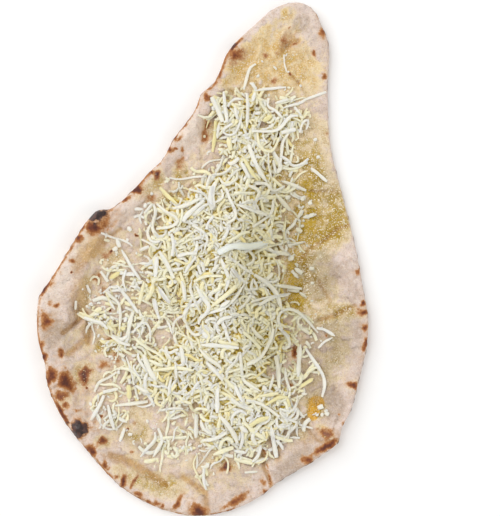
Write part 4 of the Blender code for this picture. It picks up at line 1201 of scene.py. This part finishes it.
    (3.4, "white", [(8, 47.5), (6, 42.5), (6.5, 32.5)]),
    (2.0, "white", [(21.5, 54.5), (21, 50), (14.5, 46), (10, 51)]),
    (2.2, "white", [(-5, 43), (1.5, 40), (4.5, 34.5), (7, 32)]),
    (2.2, "white", [(14.5, 44), (17, 37), (20, 31.5)]),
    (2.6, "white", [(28.5, 46), (35, 42.5), (33.5, 37), (31, 32.5)]),
    (2.2, "white", [(32.5, 47), (39.5, 47), (44, 42.5), (51, 45.5)]),
    (3.0, "white", [(45.5, 40.5), (50, 35.5), (54.5, 30.5)]),
    (2.6, "white", [(49, 49), (56, 46.5), (64.5, 43)]), (1.6, "white", [(56, 51), (55, 48)]),
    (2.6, "white", [(59.5, 26), (62, 30)]), (2.6, "white", [(69.5, 28.5), (65, 26)]),
    (2.6, "yellow", [(19.5, 41), (31.5, 41)]), (3.4, "golden", [(38, 86.5), (43, 89.5)]),
    (2.4, "white", [(-31, 34.5), (-29.5, 29.5), (-31.5, 21.5), (-30, 16.5), (-25, 12)]),
    (2.4, "white", [(-31.5, 34.5), (-36.5, 28.5)]),
    (2.2, "white", [(-32.5, 21.5), (-34.5, 17.5), (-33.5, 13), (-30, 10.5), (-26.5, 11.5)]),
    (2.4, "white", [(-28.5, 34.5), (-23.5, 30), (-17.5, 26.5), (-15.5, 23.5), (-19.5, 20.5), (-29, 19)]),
    (1.8, "white", [(-38.5, 12.5), (-33, 10), (-28, 6.5), (-26, 10)]),
    (3.0, "white", [(-28.5, 1.5), (-29.5, -11)]), (2.0, "white", [(-39.5, -2.5), (-31.5, -3)]),
    (1.8, "white", [(-14, 43.5), (-11.5, 38.5)]), (2.0, "white", [(-8.5, 43.5), (-2, 41.5), (2.5, 39)]),
    (2.6, "white", [(-18.5, 31.5), (-10.5, 33.5), (-1, 38)]),
    (3.4, "white", [(6, 45.5), (4.5, 36), (6.5, 31.5)]),
    (1.8, "white", [(11.5, 43.5), (12.5, 38.5), (7.5, 35)]), (2.0, "yellow", [(-29.5, -13), (-22.5, -12)]),
    (2.4, "white", [(-30, -24.5), (-29, -30.5), (-28, -34.5)]), (2.2, "white", [(-39.5, 5.5), (-33.5, 8)]),
    (4.8, "flake", [(9.5, 4), (18.5, 8), (30, 8), (41.5, 11)]),
]
CHIPS = [
    (72, 64, 2.2, 2.0, 0, "lone"), (53.2, 38.6, 3.4, 3.0, 30, "lone"), (62.2, 37.8, 2.4, 2.6, 80, "lone"),
    (66.9, 35.2, 2.6, 2.6, 20, "lone"), (61.2, 28.7, 5.0, 2.8, 65, "lone"),
    (66.9, 27.2, 8.5, 2.2, 14, "lone"), (60, 18.3, 4.2, 3.2, -40, "lone"),
    (55.1, 0.8, 4.0, 3.2, 35, "lone"), (59.7, -7.2, 5.8, 2.8, -35, "lone"),
    (57.6, -9.4, 6.2, 2.2, -48, "lone"), (68, -5.8, 3.0, 2.4, 0, "lone"),
    (68.4, -14.9, 2.0, 1.8, 0, "lone"), (56.5, -19.4, 7.8, 2.4, -6, "lone"),
    (62.6, -22.3, 5.4, 2.0, -34, "lone"), (68, -26, 1.8, 1.4, 0, "lone"), (-32, 41, 1.8, 1.8, 0, "lone"),
    (-36, 33.6, 2.8, 2.4, 60, "lone"), (-46, 19, 3.2, 2.6, -50, "lone"),
    (-52.8, 9.8, 4.6, 2.6, -70, "lone"), (-55, 6.5, 3.4, 2.8, 20, "lone"),
    (-55, -10, 7.5, 3.0, 32, "golden"), (-43.6, -15, 2.6, 2.0, 70, "lone"),
    (-79.4, -28.6, 5.6, 1.8, 84, "lone"), (-65, -31.5, 4.0, 3.2, 30, "yellow"),
    (73.5, -92.5, 3.6, 3.2, 20, "lone"), (77.5, -96.5, 3.0, 2.6, -30, "lone"),
    (74.5, -97, 2.2, 2.0, 60, "lone"),
]
CRUMB_SPOTS = [
    (-64, -32, 8, 8, 34), (-52, -56, 9, 7, 22), (-56, 6, 5, 6, 10), (-44, -8, 9, 8, 12),
    (60, 14, 5, 14, 12), (-58, -88, 7, 9, 8), (-8, -118, 12, 6, 16), (40, 96, 12, 6, 14),
    (66, -46, 8, 8, 8), (-30, 30, 8, 8, 8), (44, 120, 14, 12, 5), (66, 60, 6, 14, 6), (-36, -108, 8, 5, 6),
    (72, -94, 3, 3, 5),
]
print(len(CLEAR_SHREDS), "shreds and", len(CHIPS), "chips have their place given")


def through(knots):
    """A smooth open line through the knots, with a point at every cell of the map."""
    knots = np.array(knots, float)
    ends = np.vstack([2 * knots[0] - knots[1], knots, 2 * knots[-1] - knots[-2]])
    t = np.linspace(0.0, 1.0, 12, endpoint=False)[:, None]
    spans = []
    for a, b, c, d in zip(ends, ends[1:], ends[2:], ends[3:]):
        spans.append(b + 0.5 * t * (c - a + t * (2 * a - 5 * b + 4 * c - d + t * (3 * (b - c) + d - a))))
    fine = np.vstack(spans + [knots[-1:]])
    travelled = np.concatenate([[0.0], np.cumsum(np.linalg.norm(np.diff(fine, axis=0), axis=1))])
    stops = np.linspace(0.0, travelled[-1], max(5, int(travelled[-1] / MAP_CELL)))
    return np.column_stack([np.interp(stops, travelled, fine[:, k]) for k in (0, 1)])


# %% [markdown]
# The heap is filled from below. First come strips that lie deep and are soaked with butter, then the loose
# ones and the crumbs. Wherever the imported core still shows, a few more strips cover it. One seed drives all
# the draws, so the heap is the same each time.

# %% Where a strip may land
MOST_LAYERS = layer_map.max()
MOST_TRIES = 400
RIM_CLEARANCE = 6.0
CRUMB_CLEARANCE = 5.0
GOLDEN_SHARE = 0.008
LANDING_X = (-80, 84)
LANDING_Y = (-142, 112)
dice = random.Random(20)
print(f"{MOST_LAYERS:.1f} layers of cheese at most")


def landing_place(least_layers):
    """A random place that isn't full yet, more likely where more layers lie, or else the last one tried."""
    for _ in range(MOST_TRIES):
        place = np.array([dice.uniform(*LANDING_X), dice.uniform(*LANDING_Y)])
        cell = cells_at(place[None])
        layers_here = layer_map[cell][0]
        room = heights[cell][0] < settled_top[cell][0]
        if layers_here >= least_layers and room and dice.random() * MOST_LAYERS < layers_here:
            break
    return place


def random_kind(place):
    """The two kinds are not evenly mixed: here more yellow, there more white."""
    share = 0.6 + 0.5 * ripple(place[None], 38.0, 43)[0]
    if dice.random() < GOLDEN_SHARE:
        return "golden"
    return "yellow" if dice.random() < share else "white"


def safe(line):
    """True for a strip that keeps off the rim and leaves the bare spots bare."""
    off_the_rim = (distance_to_line(line, rim_line, True)[0] > RIM_CLEARANCE).all()
    return off_the_rim and (soft_patches(line, BARE_SPOTS) < 0.5).all()


def direction(turn):
    """The flat direction at this turn in degrees."""
    return math.cos(math.radians(turn)), math.sin(math.radians(turn))


# %% Drop the whole heap
SOAKED_COUNT = 700
SHRED_COUNT = 1200
CRUMB_COUNT = 900
COVER_COUNT = 220
DEEP_LAYERS = 1.5
SHORTEST = 5.0
LONGEST = 36.0
LENGTH_LOG = 2.56
LENGTH_LOG_SPREAD = 0.42
STRIP_WIDTHS = (1.2, 1.4, 1.6, 1.8, 2.0, 2.2, 2.6)
CRUMB_LENGTHS = (1.6, 6.0)
CRUMB_WIDTHS = (1.0, 2.2)
CRUMB_SCATTER = 4.5
COVER_KINDS = ("soaked", "yellow", "yellow", "white")
COVER_LENGTHS = (6.0, 16.0)
COVER_WIDTHS = (1.4, 2.4)
LONE_LENGTHS = (1.2, 4.0)
LONE_WIDTHS = (0.9, 2.1)
CLEAR_WIDTH_SHARE = 0.9

for number in range(SOAKED_COUNT + SHRED_COUNT):
    deep = number < SOAKED_COUNT
    place = landing_place(DEEP_LAYERS if deep else 0.0)
    length = min(LONGEST, max(SHORTEST, dice.lognormvariate(LENGTH_LOG, LENGTH_LOG_SPREAD)))
    line = wavering_line(dice, place, length)
    if safe(line[::4]) and safe(line[-1:]):
        width = dice.choice(STRIP_WIDTHS)
        drop(dice, line, width, "soaked" if deep else random_kind(place), 0.5 * dice.random() ** 3)
for _ in range(CRUMB_COUNT):
    place = landing_place(0.0) + (dice.gauss(0.0, CRUMB_SCATTER), dice.gauss(0.0, CRUMB_SCATTER))
    line = wavering_line(dice, place, dice.uniform(*CRUMB_LENGTHS))
    if safe(line[[0, -1]]):
        drop(dice, line, dice.uniform(*CRUMB_WIDTHS), random_kind(place), 0.2)
for _ in range(COVER_COUNT):
    bare_core = grid[within & (heights <= core_top + 0.05).ravel()]
    line = wavering_line(dice, bare_core[dice.randrange(len(bare_core))], dice.uniform(*COVER_LENGTHS))
    if safe(line[::4]):
        drop(dice, line, dice.uniform(*COVER_WIDTHS), dice.choice(COVER_KINDS), 0.1)
print(len(bare_core), "cells of the core were still bare")
for x, y, across, along, count in CRUMB_SPOTS:
    for _ in range(count):
        place = (x + dice.gauss(0.0, across), y + dice.gauss(0.0, along))
        line = wavering_line(dice, place, dice.uniform(*LONE_LENGTHS))
        if (distance_to_line(line, rim_line, True)[0] > CRUMB_CLEARANCE).all():
            drop(dice, line, dice.uniform(*LONE_WIDTHS), "lone", 0.2)
for x, y, length, width, turn, kind in CHIPS:
    chip = (x, y) + np.outer(np.linspace(-0.5, 0.5, 6), np.array(direction(turn)) * length)
    drop(dice, chip, width, kind, 0.3)
for width, kind, knots in CLEAR_SHREDS:
    drop(dice, through(knots), CLEAR_WIDTH_SHARE * width, kind, 0.15)
print({kind: len(kept) for kind, kept in strips.items()}, f"heap top at {heights.max():.1f} mm")

# %% [markdown]
# ## Sweep the strips with Geometry Nodes
# The paths become one curve object for each kind of cheese. Its node tree sweeps a small flat bar along
# every path, scaled by the path's own radius, and gives each strip a random tint. A grater cuts strips with
# a flat face and crisp edges, so the corners of the bar are only just cut off, and the edges round its cut
# ends stay sharp in the shading. The result is turned into a plain mesh, so nothing live is left on the
# piece.

# %% A node tree by hand
CRISP_ANGLE = 1.0


def new_tree(name, inputs):
    """An empty geometry tree with named inputs: the tree, its input node and each input's identifier."""
    tree = bpy.data.node_groups.new(name, "GeometryNodeTree")
    tree.interface.new_socket("Geometry", in_out="INPUT", socket_type="NodeSocketGeometry")
    sockets = {}
    for label, kind in inputs.items():
        sockets[label] = tree.interface.new_socket(label, in_out="INPUT", socket_type=kind).identifier
    tree.interface.new_socket("Geometry", in_out="OUTPUT", socket_type="NodeSocketGeometry")
    return tree, tree.nodes.new("NodeGroupInput"), sockets


def add_node(tree, kind, settings, sockets):
    """A node with its settings, then its sockets' values or the outputs that feed them."""
    made = tree.nodes.new(kind)
    for name, value in settings.items():
        setattr(made, name, value)
    for name, value in sockets.items():
        if isinstance(value, bpy.types.NodeSocket):
            tree.links.new(value, made.inputs[name])
        else:
            made.inputs[name].default_value = value
    return made


def finish_tree(tree, geometry_out, finish):
    """Every tree ends alike: crisp edges, real geometry in place of instances, and its material."""
    smooth = add_node(tree, "GeometryNodeSetShadeSmooth", {}, {"Geometry": geometry_out})
    turn = add_node(tree, "GeometryNodeInputMeshEdgeAngle", {}, {})
    crisp = add_node(
        tree, "FunctionNodeCompare", {"data_type": "FLOAT", "operation": "GREATER_THAN"},
        {0: turn.outputs[0], 1: CRISP_ANGLE},
    )
    edged = add_node(
        tree, "GeometryNodeSetShadeSmooth", {"domain": "EDGE"},
        {"Geometry": smooth.outputs[0], "Selection": crisp.outputs[0], "Shade Smooth": False},
    )
    real = add_node(tree, "GeometryNodeRealizeInstances", {}, {"Geometry": edged.outputs[0]})
    painted = add_node(tree, "GeometryNodeSetMaterial", {}, {"Geometry": real.outputs[0], "Material": finish})
    add_node(tree, "NodeGroupOutput", {}, {"Geometry": painted.outputs[0]})


def grown_piece(name, source, tree, values):
    """Runs the tree on a source object and keeps only the plain mesh that it makes."""
    modifier = source.modifiers.new("grow", "NODES")
    modifier.node_group = tree
    for identifier, value in values.items():
        modifier[identifier] = value
    graph = bpy.context.evaluated_depsgraph_get()
    mesh = bpy.data.meshes.new_from_object(source.evaluated_get(graph))
    source.modifiers.remove(modifier)
    bpy.data.objects.remove(source)
    mesh.name = name
    mesh.calc_loop_triangles()
    print(name, len(mesh.loop_triangles), "triangles")
    return add_object(name, mesh)


# %% Strip tree
BAR_REACH = 2.0
CORNER_CUT = 0.42
STRIP_SEED = 5

strip_tree, strip_in, strip_inputs = new_tree(
    "grated_strips", {"Flatness": "NodeSocketFloat", "Seed": "NodeSocketInt", "Finish": "NodeSocketMaterial"}
)
height = add_node(
    strip_tree, "ShaderNodeMath", {"operation": "MULTIPLY"},
    {0: strip_in.outputs["Flatness"], 1: BAR_REACH * MM},
)
bar = add_node(
    strip_tree, "GeometryNodeCurvePrimitiveQuadrilateral", {},
    {"Width": BAR_REACH * MM, "Height": height.outputs[0]},
)
cut_bar = add_node(
    strip_tree, "GeometryNodeFilletCurve", {"mode": "POLY"},
    {"Curve": bar.outputs[0], "Radius": CORNER_CUT * MM, "Count": 1},
)
chance = add_node(
    strip_tree, "FunctionNodeRandomValue", {"data_type": "FLOAT"}, {"Seed": strip_in.outputs["Seed"]}
)
tinted = add_node(
    strip_tree, "GeometryNodeStoreNamedAttribute", {"data_type": "FLOAT", "domain": "CURVE"},
    {"Geometry": strip_in.outputs["Geometry"], "Name": "tint", "Value": chance.outputs[1]},
)
radius = add_node(strip_tree, "GeometryNodeInputRadius", {}, {})
swept = add_node(
    strip_tree, "GeometryNodeCurveToMesh", {},
    {
        "Curve": tinted.outputs[0], "Profile Curve": cut_bar.outputs[0], "Scale": radius.outputs[0],
        "Fill Caps": True,
    },
)
finish_tree(strip_tree, swept.outputs[0], strip_in.outputs["Finish"])
print("the strip tree has", len(strip_tree.nodes), "nodes")


def strip_paths(name, kept):
    """A curve object with one straight-edged path for each strip."""
    data = bpy.data.curves.new(name, "CURVE")
    data.dimensions = "3D"
    data.twist_mode = "Z_UP"
    for path, radius, roll in kept:
        spline = data.splines.new("POLY")
        spline.points.add(len(path) - 1)
        places = np.column_stack([path * MM, np.ones(len(path))])
        spline.points.foreach_set("co", places.ravel())
        spline.points.foreach_set("radius", radius)
        spline.points.foreach_set("tilt", roll)
    return add_object(name, data)


# %% [markdown]
# The white strips are a mild melting cheese and the pale yellow ones a firmer kind. Both are moist, so
# they have a soft shine, and light seeps a little way in, which keeps their shadows warm and pale. The
# finish turns to butter yellow with the painted depth, partly for the butter that soaks the heap from
# below and partly as painted warm shade in the gaps between the strips. On the right, beside the pool of
# butter, the heap slopes away from the window, and painted shade makes the cheese there a little darker.

# %% Cheese finishes
SHADE_EAST = 46
SHADE_NORTH = -12


def cheese_finish(name, pale, deep, relief=0.16, soak_and_shade=0.9):
    """A moist cheese between two tones, one for each strip's tint, that yellows with its depth."""
    finish = Finish(name)
    streak, pore = finish.grain(2.5, 2.0), finish.grain(0.6, 3.0)
    tint = finish.painted("tint")
    colour = finish.blend((tint * 0.75 + (streak - 0.5) * 0.9).between(0.0, 1.0), tone(pale), tone(deep))
    east = finish.node("ShaderNodeSeparateXYZ", None, {0: finish.place}) / MM - SHADE_EAST
    north = finish.node("ShaderNodeSeparateXYZ", None, {0: finish.place}, output=1) / MM - SHADE_NORTH
    # Painted shade on the right slope of the heap, which faces away from the window.
    right_slope_shade = 1 - (east * east / 950 + north * north / 5200).between(0.3, 1.3)
    colour = finish.multiplied(right_slope_shade * 0.8, colour, tone("D9D6C9"))
    # The deeper a point lies in the heap, the yellower it is: partly butter soaked up from below, partly
    # painted warm shade for the light that bounces in the gaps.
    colour = finish.blend(finish.painted("depth") * soak_and_shade, colour, tone("FFDE54"))
    finish.set(
        Base_Color=colour,
        Roughness=0.46 + pore * 0.2,
        Normal=finish.bump(streak * 0.6 + pore * 0.4, relief),
        Specular_IOR_Level=0.2,
        Subsurface_Weight=0.35,
        Subsurface_Radius=(1.0, 0.9, 0.6),
        Subsurface_Scale=0.003,
    )
    return finish.material


cheese_finishes = {
    "soaked": cheese_finish("soaked_cheese", "F7EBBC", "F2DE9A"),
    "white": cheese_finish("white_cheese", "EDEBE0", "ECE8D5"),
    "yellow": cheese_finish("yellow_cheese", "F4F0D3", "F3E8BA"),
    "golden": cheese_finish("golden_cheese", "EDE3B2", "E6D798"),
}
cheese_finishes["lone"] = cheese_finishes["white"]
cheese_finishes["flake"] = cheese_finish("flaked_cheese", "ECEFE8", "E6E9DE")
packed_finish = cheese_finish("packed_cheese", "F4E2A2", "EDD080", 0.7, 0.55)
print(len(cheese_finishes), "kinds of strip have a finish")

# %% [markdown]
# How deep a point lies is measured from the finished map of heights, averaged over a few cells, because a
# strip on top of a dip is still a top strip. The value is painted on every strip and on the core.

# %% Grated cheese
MEAN_CELLS = 7
SHALLOW = 0.1
SOAK_AND_SHADE_DEPTH = 2.8

mean_top = heights.copy()
for axis in (0, 1):
    mean_top = np.apply_along_axis(np.convolve, axis, mean_top, np.ones(MEAN_CELLS) / MEAN_CELLS, "same")


def store_depth(mesh):
    """Paints how far each point lies below the mean top of the cheese around it."""
    points = np.empty(len(mesh.vertices) * 3, np.float32)
    mesh.vertices.foreach_get("co", points)
    points = points.reshape(-1, 3) / MM
    below = mean_top[cells_at(points[:, :2])] - points[:, 2]
    paint(mesh, "depth", eased((below - SHALLOW) / SOAK_AND_SHADE_DEPTH))


for kind, finish in cheese_finishes.items():
    values = dict(zip(strip_inputs.values(), (FLATNESS[kind], STRIP_SEED, finish)))
    piece = grown_piece(f"{kind}_shreds", strip_paths(kind, strips[kind]), strip_tree, values)
    store_depth(piece.data)
    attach(piece, "root")
    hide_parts("naan_bread" if kind == "lone" else "grated_cheese")
store_depth(core_mesh)
core_mesh.materials.append(packed_finish)
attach(core, "root")
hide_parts("grated_cheese")

# %% [markdown]
# ## Minced garlic
# The butter is full of finely minced garlic. A node tree scatters points over the bread, closer together
# where the painted butter is strong, and puts a tiny rough ball on each one, turned and sized at random.
# Twenty faces are enough for a grain under a millimetre wide.

# %% Scatter the garlic
GARLIC_PER_MM2 = 0.32
GARLIC_RADIUS = 0.31
LEAST_BUTTER = 0.12
SMALLEST_BIT = (0.5, 0.4, 0.5)
LARGEST_BIT = (1.4, 1.0, 1.3)
FULL_TURN = (math.tau, math.tau, math.tau)
GARLIC_SEED = 8

garlic_tree, garlic_in, garlic_inputs = new_tree(
    "minced_garlic",
    {
        "Density": "NodeSocketFloat", "Radius": "NodeSocketFloat", "Seed": "NodeSocketInt",
        "Finish": "NodeSocketMaterial",
    },
)
buttered = add_node(
    garlic_tree, "GeometryNodeInputNamedAttribute", {"data_type": "FLOAT"}, {"Name": "butter"}
)
excess = add_node(
    garlic_tree, "ShaderNodeMath", {"operation": "SUBTRACT"}, {0: buttered.outputs[0], 1: LEAST_BUTTER}
)
cover = add_node(garlic_tree, "ShaderNodeClamp", {}, {"Value": excess.outputs[0]})
density = add_node(
    garlic_tree, "ShaderNodeMath", {"operation": "MULTIPLY"},
    {0: cover.outputs[0], 1: garlic_in.outputs["Density"]},
)
spots = add_node(
    garlic_tree, "GeometryNodeDistributePointsOnFaces", {},
    {"Mesh": garlic_in.outputs[0], "Density": density.outputs[0], "Seed": garlic_in.outputs["Seed"]},
)
bit = add_node(
    garlic_tree, "GeometryNodeMeshIcoSphere", {}, {"Radius": garlic_in.outputs["Radius"], "Subdivisions": 1}
)
turn = add_node(
    garlic_tree, "FunctionNodeRandomValue", {"data_type": "FLOAT_VECTOR"}, {1: FULL_TURN, "Seed": 3}
)
size = add_node(
    garlic_tree, "FunctionNodeRandomValue", {"data_type": "FLOAT_VECTOR"},
    {0: SMALLEST_BIT, 1: LARGEST_BIT, "Seed": 4},
)
placed = add_node(
    garlic_tree, "GeometryNodeInstanceOnPoints", {},
    {
        "Points": spots.outputs[0], "Instance": bit.outputs[0], "Rotation": turn.outputs[0],
        "Scale": size.outputs[0],
    },
)
finish_tree(garlic_tree, placed.outputs[0], garlic_in.outputs["Finish"])

garlic_finish = Finish("minced_garlic")
garlic_finish.set(
    Base_Color=garlic_finish.blend(garlic_finish.grain(5.0), tone("ECDFBB"), tone("D6BF84")),
    Roughness=0.3 + garlic_finish.grain(0.8) * 0.3,
    Subsurface_Weight=0.2,
    Subsurface_Scale=0.001,
)
garlic_values = (GARLIC_PER_MM2 / MM**2, GARLIC_RADIUS * MM, GARLIC_SEED, garlic_finish.material)
values = dict(zip(garlic_inputs.values(), garlic_values))
garlic = grown_piece("minced_garlic", add_object("garlic_ground", bread_mesh.copy()), garlic_tree, values)
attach(garlic, "root")
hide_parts("naan_bread")
